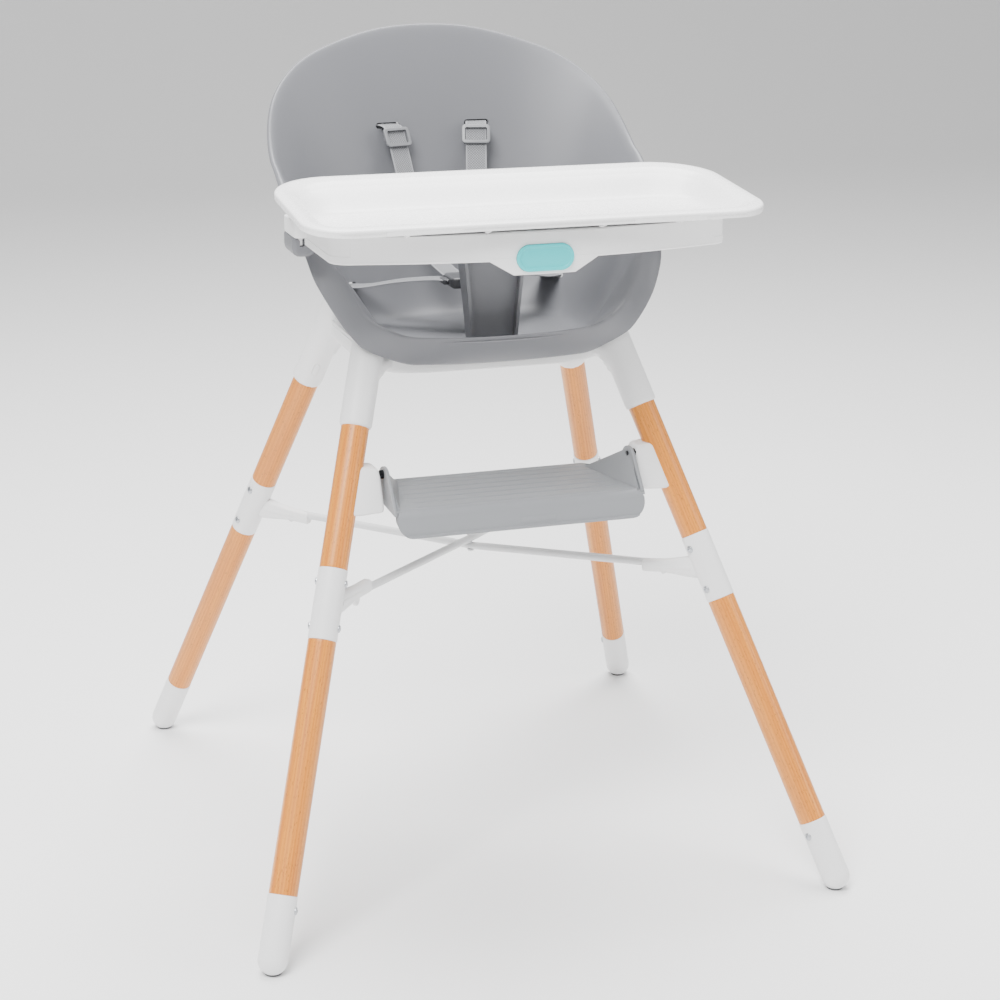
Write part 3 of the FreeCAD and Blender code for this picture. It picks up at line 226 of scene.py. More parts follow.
def rounded(profile, radius, steps=4):
    """A (radius, height) outline whose inner corners are swept through short arcs: each corner is
    a quadratic curve between two points that lie a given way along its two sides."""
    profile = [np.array(p, float) for p in profile]
    path = [profile[0]]
    for before, corner, after in zip(profile, profile[1:], profile[2:]):
        back, ahead = before - corner, after - corner
        reach = min(radius, np.linalg.norm(back) * 0.45, np.linalg.norm(ahead) * 0.45)
        start = corner + back / np.linalg.norm(back) * reach
        finish = corner + ahead / np.linalg.norm(ahead) * reach
        for t in np.linspace(0, 1, steps + 1):
            path.append(quadratic(start, corner, finish, t))
    return np.array(path + [profile[-1]])


def turned(profile, segments=64):
    """Surface of revolution: each (radius, height) row is carried once round the third axis."""
    profile = np.asarray(profile, float)
    turn = np.linspace(0, 2 * math.pi, segments, endpoint=False)
    x = profile[:, :1] * np.cos(turn)
    y = profile[:, :1] * np.sin(turn)
    z = np.repeat(profile[:, 1:], segments, 1)
    return np.stack([x, y, z], -1).reshape(-1, 3), grid_faces(len(profile), segments, True)


def joined(parts):
    """Several (points, faces) surfaces as one."""
    points, faces, offset = [], [], 0
    for some_points, some_faces in parts:
        points.append(np.asarray(some_points, float))
        faces += [tuple(int(i) + offset for i in face) for face in some_faces]
        offset += len(some_points)
    return np.concatenate(points), faces


def solid_mesh(name, points, faces, attributes=None, sharp=32.0):
    """Mesh in metres from points in millimetres, with its poles closed and its faces outwards."""
    mesh = bpy.data.meshes.new(name)
    mesh.from_pydata((np.asarray(points) * 0.001).tolist(), [], [list(map(int, f)) for f in faces])
    for label, values in (attributes or {}).items():
        layer = mesh.attributes.new(label, "FLOAT_VECTOR", "POINT")
        layer.data.foreach_set("vector", np.asarray(values, float).ravel())
    tidy = bmesh.new()
    tidy.from_mesh(mesh)
    bmesh.ops.remove_doubles(tidy, verts=tidy.verts, dist=1e-6)
    bmesh.ops.dissolve_degenerate(tidy, edges=tidy.edges, dist=1e-7)
    bmesh.ops.recalc_face_normals(tidy, faces=tidy.faces)
    tidy.to_mesh(mesh)
    tidy.free()
    mesh.shade_smooth()
    mesh.set_sharp_from_angle(angle=math.radians(sharp))
    return mesh


def add_piece(name, mesh, material, body, stands_for=()):
    """Puts a finished mesh on a body of the chair, in place of the CAD nodes it stands for."""
    mesh.materials.clear()
    mesh.materials.append(material)
    piece = new_object(name, mesh)
    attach(piece, body)
    if stands_for:
        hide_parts(*stands_for)
    return piece


def beech():
    """Lacquered beech, turned along the grain. Its own coordinates are millimetres in the bar's
    own frame: growth bands are a few millimetres wide and run the length of the bar, pores are
    hair lines, and the ray flecks are about half a millimetre by three."""
    material, out = new_material("lacquered_beech")
    timber = put(material, "Attribute", attribute_name="timber").outputs["Vector"]
    drawn = put(material, "Mapping", {"Vector": timber, "Scale": (0.13, 0.13, 0.0035)}).outputs[0]
    bands = put(material, "TexNoise", {"Vector": drawn, "Scale": 1.0, "Detail": 3.0,
                                       "Distortion": 0.8}).outputs[0]
    rings = put(material, "TexWave", {"Vector": drawn, "Scale": 0.7, "Distortion": 5.0, "Detail": 2.0,
                                      "Detail Scale": 1.3}, wave_type="BANDS", bands_direction="X")
    growth = put(material, "Math", {0: bands, 1: 0.75}, operation="MULTIPLY").outputs[0]
    growth = put(material, "Math", {0: rings.outputs["Fac"], 1: 0.30, 2: growth},
                 operation="MULTIPLY_ADD").outputs[0]
    growth = put(material, "MapRange", {"Value": growth, "From Min": 0.25, "From Max": 0.78}).outputs[0]
    wood = put(material, "Mix", {0: growth, 6: linear("#e0902c"), 7: linear("#c8751c")},
               data_type="RGBA").outputs[2]
    hairs = put(material, "Mapping", {"Vector": timber, "Scale": (1.9, 1.9, 0.03)}).outputs[0]
    pores = put(material, "TexNoise", {"Vector": hairs, "Scale": 1.0, "Detail": 2.0}).outputs[0]
    pore_mask = put(material, "MapRange", {"Value": pores, "From Min": 0.45, "From Max": 0.8,
                                           "To Max": 0.35}).outputs[0]
    wood = put(material, "Mix", {0: pore_mask, 6: wood, 7: linear("#a05514")},
               data_type="RGBA").outputs[2]
    dashes = put(material, "Mapping", {"Vector": timber, "Scale": (1.1, 1.1, 0.24)}).outputs[0]
    flecks = put(material, "TexNoise", {"Vector": dashes, "Scale": 1.0, "Detail": 1.0,
                                        "Roughness": 0.4}).outputs[0]
    fleck_mask = put(material, "MapRange", {"Value": flecks, "From Min": 0.63, "From Max": 0.70,
                                            "To Max": 0.55}).outputs[0]
    wood = put(material, "Mix", {0: fleck_mask, 6: wood, 7: linear("#83430f")},
               data_type="RGBA").outputs[2]
    grain = put(material, "Math", {0: pore_mask, 1: fleck_mask}, operation="ADD").outputs[0]
    relief = put(material, "Bump", {"Height": grain, "Strength": 0.12, "Distance": 0.0002},
                 invert=True).outputs[0]
    gloss = put(material, "MapRange", {"Value": growth, "To Min": 0.36, "To Max": 0.46}).outputs[0]
    lacquer = put(material, "BsdfPrincipled", {"Base Color": wood, "Roughness": gloss, "Normal": relief,
                                               "IOR": 1.5,
                                               "Coat Weight": 0.25, "Coat Roughness": 0.22})
    material.node_tree.links.new(lacquer.outputs[0], out.inputs[0])
    return material


def make_bar(name, corner, low, high, low_end, high_end):
    """A turned bar between two heights on a leg, with a spigot of the given length at each end."""
    length = (high - low) * STRETCH
    profile = [(0, -low_end), (SPIGOT_R, -low_end), (SPIGOT_R, 0), (WOOD_R, 0), (WOOD_R, length)]
    if high_end:
        profile += [(SPIGOT_R, length), (SPIGOT_R, length + high_end)]
    outline = rounded(profile + [(0, length + high_end)], 0.8, 3)
    reach = np.linspace(0.01, 0.99, 24)[:, None]
    middle = int(np.argmax(np.diff(outline[:, 1])))
    shaft = outline[middle] * (1 - reach) + outline[middle + 1] * reach
    points, faces = turned(np.concatenate([outline[:middle + 1], shaft, outline[middle + 1:]]))
    number = list(CORNERS).index(corner)
    timber = points + np.array([37.0 * number + low * 0.31, 23.0 * number - low * 0.17, 611.0 * number])
    mesh = solid_mesh(name, moved(leg_frame(corner, low), points), faces, {"timber": timber})
    add_piece(name, mesh, beech_wood, "frame", [name.replace("beech_", "")])


beech_wood = beech()
for corner in CORNERS:
    make_bar("beech_lower_leg_" + corner, corner, CAP_TOP, COLLAR_BOTTOM, SPIGOT_LENGTH,
             SPIGOT_LENGTH - 8)
    make_bar("beech_upper_leg_" + corner, corner, COLLAR_TOP, LEG_TOP, SPIGOT_LENGTH, 0.0)


# ---- collars, foot caps and pads ------------------------------------------------------------
# White moulded nylon collars join the bars, and caps with a round end close the feet over a
# rubber pad. Steel domed bolts with a hexagon socket pass through each one.
COLLAR_R, CAP_SCREW_Z, BOLT_YAW, BOLT_HEAD_R = 16.0, 61.5, 22.0, 4.2
COLLAR_BOLT_Z = (COLLAR_TOP - 13, COLLAR_BOTTOM + 13)


def moulded(name, colour, roughness, grain, depth, shade=0.04):
    """Injection-moulded plastic: an even colour with a barely cloudy pigment, and the fine
    texture of the spark-eroded mould. Grain is the size of one bump of the texture in
    millimetres, drawn as coarse as it needs to be to show, and depth its height."""
    material, out = new_material(name)
    spot = put(material, "TexCoord").outputs["Object"]
    cloud = put(material, "TexNoise", {"Vector": spot, "Scale": 9.0, "Detail": 3.0}).outputs[0]
    pits = put(material, "TexNoise", {"Vector": spot, "Scale": 1000 / (grain * 2), "Detail": 3.0,
                                      "Roughness": 0.6}).outputs[0]
    full = linear(colour)
    dull = tuple(v * (1 - 3 * shade) for v in full[:3]) + (1.0,)
    tone = put(material, "MapRange", {"Value": cloud, "From Min": 0.3, "From Max": 0.7,
                                      "To Max": 0.35}).outputs[0]
    paint = put(material, "Mix", {0: tone, 6: full, 7: dull}, data_type="RGBA").outputs[2]
    relief = put(material, "Bump", {"Height": pits, "Strength": 0.5,
                                    "Distance": depth * 0.001}).outputs[0]
    gloss = put(material, "MapRange", {"Value": pits, "To Min": roughness - 0.05,
                                       "To Max": roughness + 0.07}).outputs[0]
    plastic = put(material, "BsdfPrincipled", {"Base Color": paint, "Roughness": gloss,
                                               "Normal": relief, "IOR": 1.49})
    material.node_tree.links.new(plastic.outputs[0], out.inputs[0])
    return material


def plated_steel(name, colour, roughness):
    """Zinc-plated or blackened steel with the faint mottle of the plating bath."""
    material, out = new_material(name)
    spot = put(material, "TexCoord").outputs["Object"]
    bloom = put(material, "TexNoise", {"Vector": spot, "Scale": 450.0, "Detail": 3.0}).outputs[0]
    gloss = put(material, "MapRange", {"Value": bloom, "To Min": roughness - 0.08,
                                       "To Max": roughness + 0.12}).outputs[0]
    relief = put(material, "Bump", {"Height": bloom, "Strength": 0.15, "Distance": 0.0001}).outputs[0]
    metal = put(material, "BsdfPrincipled", {"Base Color": linear(colour), "Metallic": 1.0,
                                             "Roughness": gloss,
                                             "Normal": relief})
    material.node_tree.links.new(metal.outputs[0], out.inputs[0])
    return material


def bolt_direction(corner):
    """The way across a leg that its bolts run, outwards and a little forwards or back."""
    side, back = CORNERS[corner]
    yaw = math.radians(BOLT_YAW)
    return np.array([side * math.cos(yaw), -back * math.sin(yaw), 0.0])


def domed_head(place, reach):
    """Domed bolt head with a six-sided socket. The rows run from the socket's floor, up its wall,
    over the dome and down to the seat; the socket's outline is a hexagon written as a radius
    that grows towards each corner."""
    turn = np.linspace(0, 2 * math.pi, 48, endpoint=False)
    hexagon = 1.55 / np.cos((turn % (math.pi / 3)) - math.pi / 6)
    rows = [(0 * hexagon, 0.5), (hexagon, 0.5), (hexagon, 1.75), (hexagon + 0.15, 1.9)]
    for angle in np.linspace(0.25, 1, 8) * math.pi / 2:
        rows.append((0 * turn + BOLT_HEAD_R * math.sin(angle), 0.5 + 1.5 * math.cos(angle)))
    rows += [(0 * turn + BOLT_HEAD_R, -0.8), (0 * turn + 2.5, -0.8), (0 * turn + 2.5, -reach),
             (0 * turn, -reach)]
    points = np.stack([np.stack([r * np.cos(turn), r * np.sin(turn), 0 * turn + h], -1) for r, h in rows])
    return moved(place, points.reshape(-1, 3)), grid_faces(len(rows), len(turn), True)


def head_place(corner, z, way):
    """Seat of a bolt head on the collar, facing outwards along the bolt."""
    up = leg_frame(corner, z)[:3, 2]
    out = bolt_direction(corner) * way
    out = out - up * np.dot(out, up)
    out /= np.linalg.norm(out)
    return upright_frame(leg_point(corner, z) + out * COLLAR_R, out, up)


white_nylon = moulded("white_nylon", "#ececec", 0.42, 0.5, 0.02)
zinc_steel = plated_steel("zinc_plated_steel", "#b9bcc0", 0.32)
pad_rubber = moulded("foot_pad_rubber", "#5c5d5f", 0.75, 0.4, 0.03)
bolts, nuts, cap_screws = [], [], []
for corner in CORNERS:
    length = (COLLAR_TOP - COLLAR_BOTTOM) * STRETCH
    ring = rounded([(SPIGOT_R + 0.1, 0), (COLLAR_R, 0), (COLLAR_R, length), (SPIGOT_R + 0.1, length)],
                   1.2)
    points, faces = turned(np.concatenate([ring, ring[:1]]))
    collar = solid_mesh("collar_" + corner, moved(leg_frame(corner, COLLAR_BOTTOM), points), faces)
    add_piece("nylon_collar_" + corner, collar, white_nylon, "frame",
              ["leg_collar_" + corner])
    for z in COLLAR_BOLT_Z:
        bolts.append(domed_head(head_place(corner, z, -1), 2.0))
        nuts.append(domed_head(head_place(corner, z, 1), 2.0))
    cap_screws.append(domed_head(head_place(corner, CAP_SCREW_Z, -1), 2.0))

    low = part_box("foot_cap_" + corner)[0][2] * 1000
    centre = math.sqrt(COLLAR_R ** 2 - 9.6 ** 2) + low
    bowl = np.linspace(math.pi, math.pi / 2, 20)
    outline = np.stack([COLLAR_R * np.sin(bowl), COLLAR_R * np.cos(bowl)], 1)
    top = (CAP_TOP - centre) * STRETCH
    mouth = rounded([outline[-1], (COLLAR_R, top), (SPIGOT_R + 0.1, top), (SPIGOT_R + 0.1, top - 8)], 1.2)
    points, faces = turned(np.concatenate([outline, mouth[1:], [(0, top - 8)]]))
    points = moved(leg_frame(corner, centre), points)
    points[:, 2] = np.maximum(points[:, 2], low)
    cap = solid_mesh("cap_" + corner, points, faces)
    add_piece("nylon_foot_cap_" + corner, cap, white_nylon, "frame",
              ["foot_cap_" + corner])
    foot = leg_point(corner, centre)
    foot[2] = 0.0
    points, faces = turned(rounded([(0, 0), (9.0, 0), (9.0, low + 0.2), (0, low + 0.2)], 0.9))
    pad = solid_mesh("pad_" + corner, points + foot, faces)
    add_piece("rubber_foot_pad_" + corner, pad, pad_rubber, "frame",
              ["foot_pad_" + corner])
for name, heads, node in (("collar_bolts", bolts, "collar_bolts"), ("collar_nuts", nuts, "collar_nuts"),
                          ("cap_screws", cap_screws, "foot_cap_screws")):
    add_piece("steel_" + name, solid_mesh(name, *joined(heads)), zinc_steel, "frame",
              [node])


# ---- cross brace ----------------------------------------------------------------------------
# Two pale painted steel rods cross under the footrest and are riveted where they meet. Each end
# is pushed into a tapering moulded arm that is keyed into a leg's collar.
BRACE_Z, BRACE_CENTRE_Z, ROD_R, ROD_STACK = 345.0, 337.0, 4.5, 9.4
ARM_LENGTH, ARM_ROOT_HEIGHT, ARM_TIP_HEIGHT, ARM_WIDTH = 65.0, 26.0, 15.0, 15.0


def tube_rows(centres, ups, sides, heights, widths, power=2.0, columns=40):
    """Closed skin of superellipse sections along a path, each with its own height and width; the
    first and last rows shrink to a point to close the ends."""
    turn = np.linspace(0, 2 * math.pi, columns, endpoint=False)
    c = np.sign(np.cos(turn)) * np.abs(np.cos(turn)) ** (2 / power)
    s = np.sign(np.sin(turn)) * np.abs(np.sin(turn)) ** (2 / power)
    centres, heights, widths = np.asarray(centres), np.asarray(heights), np.asarray(widths)
    rows = (centres[:, None] + np.asarray(sides)[:, None] * (c[None] * widths[:, None] / 2)[..., None]
            + np.asarray(ups)[:, None] * (s[None] * heights[:, None] / 2)[..., None])
    rows = np.concatenate([np.repeat(centres[:1, None], columns, 1), rows, np.repeat(centres[-1:, None],
                                                                                     columns, 1)])
    return rows.reshape(-1, 3), grid_faces(len(rows), columns, True)


def make_arm(corner):
    """One arm: upright superellipses that shrink from the collar to the rod with an eased curve,
    with two raised ribs along its flanks, a rolled mouth at the rod and a small latch below."""
    side, back = CORNERS[corner]
    target = leg_point(corner, BRACE_Z)
    inward = np.array([-target[0], -target[1], 0.0]) / math.hypot(target[0], target[1])
    drop = (BRACE_Z - BRACE_CENTRE_Z) / math.hypot(target[0], target[1])
    stack = side * back * ROD_STACK / 2
    across = np.cross(inward, (0, 0, 1.0))
    reach = np.concatenate([[0.0], np.linspace(0.0, 0.94, 18), [0.965, 0.985, 1.0]])
    run = COLLAR_R - 4 + reach * (ARM_LENGTH + 2)
    ease = np.clip(reach / 0.7, 0, 1)
    ease = ease * ease * (3 - 2 * ease)
    heights = ARM_ROOT_HEIGHT + (ARM_TIP_HEIGHT - ARM_ROOT_HEIGHT) * ease
    widths = ARM_WIDTH + (ARM_TIP_HEIGHT - 2 - ARM_WIDTH) * ease
    rim = np.concatenate([np.ones(len(reach) - 3), [1.0, 0.96, 0.86]])
    heights, widths = heights * rim, widths * rim
    centres = target + inward * run[:, None] - np.array([0, 0, 1.0]) * (drop * run)[:, None]
    centres[:, 2] += stack * np.clip(reach, 0, 1)
    count = len(reach)
    parts = [tube_rows(centres, [(0, 0, 1)] * count, [across] * count, heights, widths, 3.2)]
    for way in (1, -1):
        path = centres[3:15] + across * way * (widths[3:15] / 2 - 0.5)[:, None]
        parts.append(tube_rows(path, [(0, 0, 1)] * 12, [across] * 12, np.linspace(6, 3.5, 12),
                               np.full(12, 2.6), 2.5, 16))
    root = target + inward * (COLLAR_R + 33) - np.array([0, 0, 7.5])
    tab_path = [root + inward * (1.5 * k) for k in range(7)]
    tab_height = [4.0, 9.0, 12.5, 14.0, 14.0, 12.0, 7.0]
    parts.append(tube_rows(tab_path, [(0, 0, 1)] * 7, [across] * 7, tab_height, [6.0] * 7, 4.0, 24))
    mesh = solid_mesh("arm_" + corner, *joined(parts))
    add_piece("moulded_brace_arm_" + corner, mesh, white_nylon, "frame",
              ["brace_arm_" + corner])


def make_rod(name, stack, corner_pairs):
    """A rod from one leg to the opposite one: straight, round, and pressed a little flatter where
    the rivet passes."""
    ends = [leg_point(corner, BRACE_Z) for corner in corner_pairs]
    middle = np.array([0, 0, BRACE_CENTRE_Z + stack * ROD_STACK / 2])
    reach = 1 - 42.0 / np.linalg.norm(ends[0] - middle)
    u = np.concatenate([[-reach], np.linspace(-reach, -0.09, 20), np.linspace(-0.08, 0.08, 17),
                        np.linspace(0.09, reach, 20), [reach]])[:, None]
    path = middle + np.abs(u) * np.where(u > 0, ends[0] - middle, ends[1] - middle)
    along = (ends[0] - ends[1]) / np.linalg.norm(ends[0] - ends[1])
    flat = np.exp(-(u[:, 0] / 0.035) ** 2)
    across = np.cross(along, (0, 0, 1.0))
    count = len(u)
    points, faces = tube_rows(path, [(0, 0, 1)] * count, [across] * count, 2 * ROD_R * (1 - 0.10 * flat),
                              2 * ROD_R * (1 + 0.12 * flat))
    add_piece("painted_" + name, solid_mesh(name, points, faces), rod_paint, "frame",
              [name])


rod_paint = moulded("powder_coated_steel", "#d9dadb", 0.38, 0.8, 0.03)
for corner in CORNERS:
    make_arm(corner)
make_rod("brace_rod_upper", 1, ("rear_left", "front_right"))
make_rod("brace_rod_lower", -1, ("rear_right", "front_left"))
low, high = BRACE_CENTRE_Z - ROD_STACK / 2 - ROD_R, BRACE_CENTRE_Z + ROD_STACK / 2 + ROD_R
rivet = rounded([(0, low - 2), (3.4, low - 2), (4.5, low), (4.5, low + 0.6), (2, low + 0.6), (2,
                                                                                              high - 0.6),
                 (4.5, high - 0.6), (4.5, high), (3.4, high + 2), (0, high + 2)], 0.6)
add_piece("brace_rivet_heads", solid_mesh("rivet", *turned(rivet, 48)), rod_paint, "frame",
          ["brace_rivet"])


# ---- seat shell -----------------------------------------------------------------------------
# One deep bucket, injection moulded in grey polypropylene about 4 mm thick. Its mouth is turned
# over into a wide rounded lip in front, which narrows to a plain edge at the back.
LIP = np.array(((0, 620, -41, 40), (24, 622, -20, 37), (34, 631, -12, 38), (42, 645, 3, 38), (46, 661,
                                                                                              12, 36),
                (51, 688, 20, 35), (56, 705, 21, 29), (63, 726, 16, 18), (78, 764, 9, 7), (90, 793, 6, 4),
                (115, 857, 5, 3), (146, 905, 4.5, 2.5), (180, 930, 4, 2)), float)
MOUTH = dict(half_width=214.0, front=187.0, back=147.0, middle=40.0, power=2.45)
PAN = dict(half_width=118.0, front=90.0, back=88.0, middle=-12.0, power=2.6)
PAN_Z, WALL, LIP_CROWN, LIP_THICKNESS = 597.0, 4.5, 3.0, 2.8
SLOT_LENGTH, SLOT_HEIGHT, STRAP_X, STRAP_SLOT_Z = 30.0, 7.0, 59.0, 815.0


def unit(vectors):
    """Vectors of length one."""
    return vectors / np.maximum(np.linalg.norm(vectors, axis=-1, keepdims=True), 1e-9)


def lip_value(column, angle):
    """Monotone cubic through one column of the lip's table: the slope at each row is the harmonic
    mean of its neighbours' slopes, or nothing where they differ in sign."""
    angle = np.minimum(angle % 360, 360 - angle % 360)
    xs, ys = LIP[:, 0], LIP[:, column]
    slopes = np.diff(ys) / np.diff(xs)
    low, high = slopes[:-1], slopes[1:]
    total = np.where(low * high > 0, low + high, 1.0)
    bends = np.concatenate([[0.0], np.where(low * high > 0, 2 * low * high / total, 0.0), [0.0]])
    i = np.clip(np.searchsorted(xs, angle, side="right") - 1, 0, len(xs) - 2)
    step = xs[i + 1] - xs[i]
    u = (angle - xs[i]) / step
    value = ys[i] * (1 + 2 * u) * (1 - u) ** 2 + bends[i] * step * u * (1 - u) ** 2
    return value + ys[i + 1] * (3 - 2 * u) * u ** 2 - bends[i + 1] * step * (1 - u) * u ** 2


def oval(angle, half_width, front, back, middle, power):
    """Superellipse, at angles in degrees from the front; the back may reach less far."""
    s, c = np.sin(np.radians(angle)), np.cos(np.radians(angle))
    x = half_width * np.sign(s) * np.abs(s) ** (2 / power)
    y = middle - np.where(c > 0, front, back) * np.sign(c) * np.abs(c) ** (2 / power)
    return np.stack([x, y, np.zeros_like(x)], -1)


def mouth_line(angle):
    """Inner edge of the lip."""
    return oval(angle, **MOUTH) + lip_value(1, angle)[..., None] * np.array([0, 0, 1.0])


def lip_lines(angle):
    """Inner and outer edge of the lip and the way its crown faces."""
    inner = mouth_line(angle)
    along = oval(angle + 1, **MOUTH) - oval(angle - 1, **MOUTH)
    outward = unit(np.stack([along[..., 1], -along[..., 0], np.zeros_like(along[..., 0])], -1))
    outer = inner + outward * lip_value(2, angle)[..., None]
    outer[..., 2] -= lip_value(3, angle)
    crown = unit(np.cross(outer - inner, mouth_line(angle + 1) - mouth_line(angle - 1)))
    return inner, outer, crown


def bucket(angle, s):
    """Inside of the bucket: a cubic curve for each angle, steep at the mouth at s = 0 and level
    where it meets the flat pan at s = 1."""
    mouth, pan = mouth_line(angle), oval(angle, **PAN)
    pan[..., 2] = PAN_Z
    reach = mouth - pan
    upper, lower = pan + reach * 0.45, pan + reach * (0.38, 0.38, 0.02)
    s = np.asarray(s, float)[..., None, None]
    return mouth * (1 - s) ** 3 + upper * 3 * s * (1 - s) ** 2 + lower * 3 * s ** 2 * (1 - s) + pan * s ** 3


def bucket_normal(angle, s):
    """Out of the bucket through its wall, from the slopes down and around it."""
    down = bucket(angle, np.minimum(s + 0.01, 1)) - bucket(angle, np.maximum(s - 0.01, 0))
    return unit(np.cross(down, bucket(angle + 1, s) - bucket(angle - 1, s)))


def shell_surface():
    """Closed skin of the shell in rows: pan, inside, rounded inner edge, crowned lip, its square
    outer edge, the underside of the lip, outside, and pan again from below."""
    angle = np.linspace(0, 360, 288, endpoint=False)
    pan = oval(angle, **PAN)
    centre = np.array([0, PAN["middle"], 0])
    inner, outer, crown = lip_lines(angle)
    width = np.linalg.norm(outer - inner, axis=1, keepdims=True)
    height = LIP_CROWN * np.minimum(width / 25, 1)
    reach = np.linalg.norm(mouth_line(angle) - pan - [0, 0, PAN_Z], axis=1, keepdims=True)

    def lip(u):
        return inner + (outer - inner) * u + crown * (4 * height * u * (1 - u))

    level = np.array([0, 0, PAN_Z])
    rows = [centre + (pan - centre) * t + level for t in np.linspace(0, 0.96, 9)]
    rows += list(bucket(angle, np.linspace(1, 0.05, 46)))
    turn = np.minimum(np.minimum(6.0, 0.45 * width), 0.075 * reach)
    start = inner + unit(bucket(angle, np.array([0.02]))[0] - inner) * np.minimum(14.0, 0.075 * reach)
    finish = lip(turn / width)
    for t in np.linspace(0, 1, 7):
        rows.append(quadratic(start, inner, finish, t))
    edge = 0.6 / width
    for t in np.linspace(0.1, 1, 12):
        rows.append(lip(turn / width * (1 - t) + (1 - edge) * t))
    rows += [outer - crown * 0.5, outer - crown * (LIP_THICKNESS - 0.5)]
    last = np.clip((WALL + 0.5) / width, 0.10, 1 - edge)
    for t in np.linspace(0, 1, 9):
        rows.append(lip((1 - edge) * (1 - t) + last * t) - crown * LIP_THICKNESS)
    s = np.linspace(0.07, 1, 40)
    rows += list(bucket(angle, s) + bucket_normal(angle, s) * WALL)
    rows += [centre + (pan - centre) * t + level - [0, 0, WALL] for t in np.linspace(0.96, 0, 9)]
    return np.concatenate(rows), grid_faces(len(rows), len(angle), True)


def capped(rows):
    """Closed tube through equally long rows of points, with one polygon at each end."""
    count = len(rows[0])
    faces = [tuple(f) for f in grid_faces(len(rows), count, True)]
    faces += [tuple(range(count))[::-1], tuple(range(count * (len(rows) - 1), count * len(rows)))]
    return np.concatenate(rows), faces


def slab(outline, low, high, edge=0.0, steps=4):
    """Flat piece between two levels: its outline, anticlockwise, is drawn in along its normals
    through a quarter circle at both faces, and each face is one polygon."""
    outline = np.asarray(outline, float)
    ahead = np.roll(outline, -1, 0) - np.roll(outline, 1, 0)
    normal = unit(np.stack([ahead[:, 1], -ahead[:, 0]], 1))
    turn = np.linspace(0, math.pi / 2, steps + 1) if edge else np.array([math.pi / 2])
    inset, rise = edge * (1 - np.sin(turn)), edge * (1 - np.cos(turn))
    levels = np.concatenate([low + rise, high - rise[::-1]])
    insets = np.concatenate([inset, inset[::-1]])
    rows = [np.column_stack([outline - normal * d, np.full(len(outline), z)]) for d, z in zip(insets,
                                                                                              levels)]
    return capped(rows)


def round_corners(corners, radius, steps=7):
    """Closed outline whose corners are quadratic curves of about the given radius."""
    corners = np.asarray(corners, float)
    radius = np.broadcast_to(radius, len(corners))
    outline = []
    for k, corner in enumerate(corners):
        back, ahead = corners[k - 1] - corner, corners[(k + 1) % len(corners)] - corner
        reach = min(radius[k], np.linalg.norm(back) * 0.48, np.linalg.norm(ahead) * 0.48)
        start, finish = corner + unit(back) * reach, corner + unit(ahead) * reach
        for t in np.linspace(0, 1, steps):
            outline.append(quadratic(start, corner, finish, t))
    return np.array(outline)


def stadium(width, height, steps=24):
    """Outline with two half-round ends, anticlockwise."""
    turn = np.linspace(-math.pi / 2, math.pi / 2, steps)
    right = np.stack([(width - height) / 2 + height / 2 * np.cos(turn), height / 2 * np.sin(turn)], 1)
    return np.concatenate([right, -right])


def applied(holder):
    """The mesh of an object after its modifiers. The object itself is removed."""
    bpy.context.view_layer.update()
    graph = bpy.context.evaluated_depsgraph_get()
    result = bpy.data.meshes.new_from_object(holder.evaluated_get(graph))
    bpy.data.objects.remove(holder)
    result.shade_smooth()
    return result


def carved(mesh, cutters, sharp=32.0):
    """The mesh with closed cutter surfaces taken out of it."""
    block = new_object("block", mesh)
    tool = new_object("tool", solid_mesh("tool", *joined(cutters)))
    cut = block.modifiers.new("cut", "BOOLEAN")
    cut.operation, cut.solver, cut.object = "DIFFERENCE", "EXACT", tool
    result = applied(block)
    bpy.data.objects.remove(tool)
    result.set_sharp_from_angle(angle=math.radians(sharp))
    return result


def strap_slots():
    """Cutters with rounded ends for the two shoulder slots, two waist slots and the crotch slot."""
    cutters = []
    hole = slab(stadium(SLOT_LENGTH, SLOT_HEIGHT), -40, 40)
    for side in (1, -1):
        back = upright_frame((side * (STRAP_X - 4), 150, STRAP_SLOT_Z), (0, 1, 0), (0, 0, 1))
        yaw = math.radians(35) * side
        waist = upright_frame((side * 120, 70, 640), (math.cos(yaw) * side, abs(math.sin(yaw)), 0), (0,
                0, 1))
        cutters += [(moved(back, hole[0]), hole[1]), (moved(waist, hole[0]), hole[1])]
    low = slab(stadium(SLOT_LENGTH, SLOT_HEIGHT), -10, 10)
    cutters.append((low[0] + [0, -30, PAN_Z], low[1]))
    return cutters


grey_polypropylene = moulded("grey_polypropylene", "#6e6f73", 0.44, 0.7, 0.035, 0.03)
shell_mesh = carved(solid_mesh("bucket", *shell_surface(), sharp=40.0), strap_slots(), 40.0)
add_piece("moulded_seat_shell", shell_mesh, grey_polypropylene, "frame", ["seat_shell"])


# ---- seat hub -------------------------------------------------------------------------------
# White nylon moulding screwed under the shell: a shallow tub whose four corners are the sleeves
# of the legs, blended into it, with gripping ridges on its sides and a lock in each sleeve.
HUB_FOOT_X, HUB_FOOT_Y, HUB_TOP = 104.0, 86.0, 606.0
SLEEVE_R, SLEEVE_TOP, HUB_HALF_X, HUB_HALF_Y, HUB_BOTTOM = 18.25, 632.0, 150.0, 94.0, 568.5
LOCK_HEIGHT, LOCK_LENGTH, LOCK_WIDTH = 545.0, 15.0, 7.0


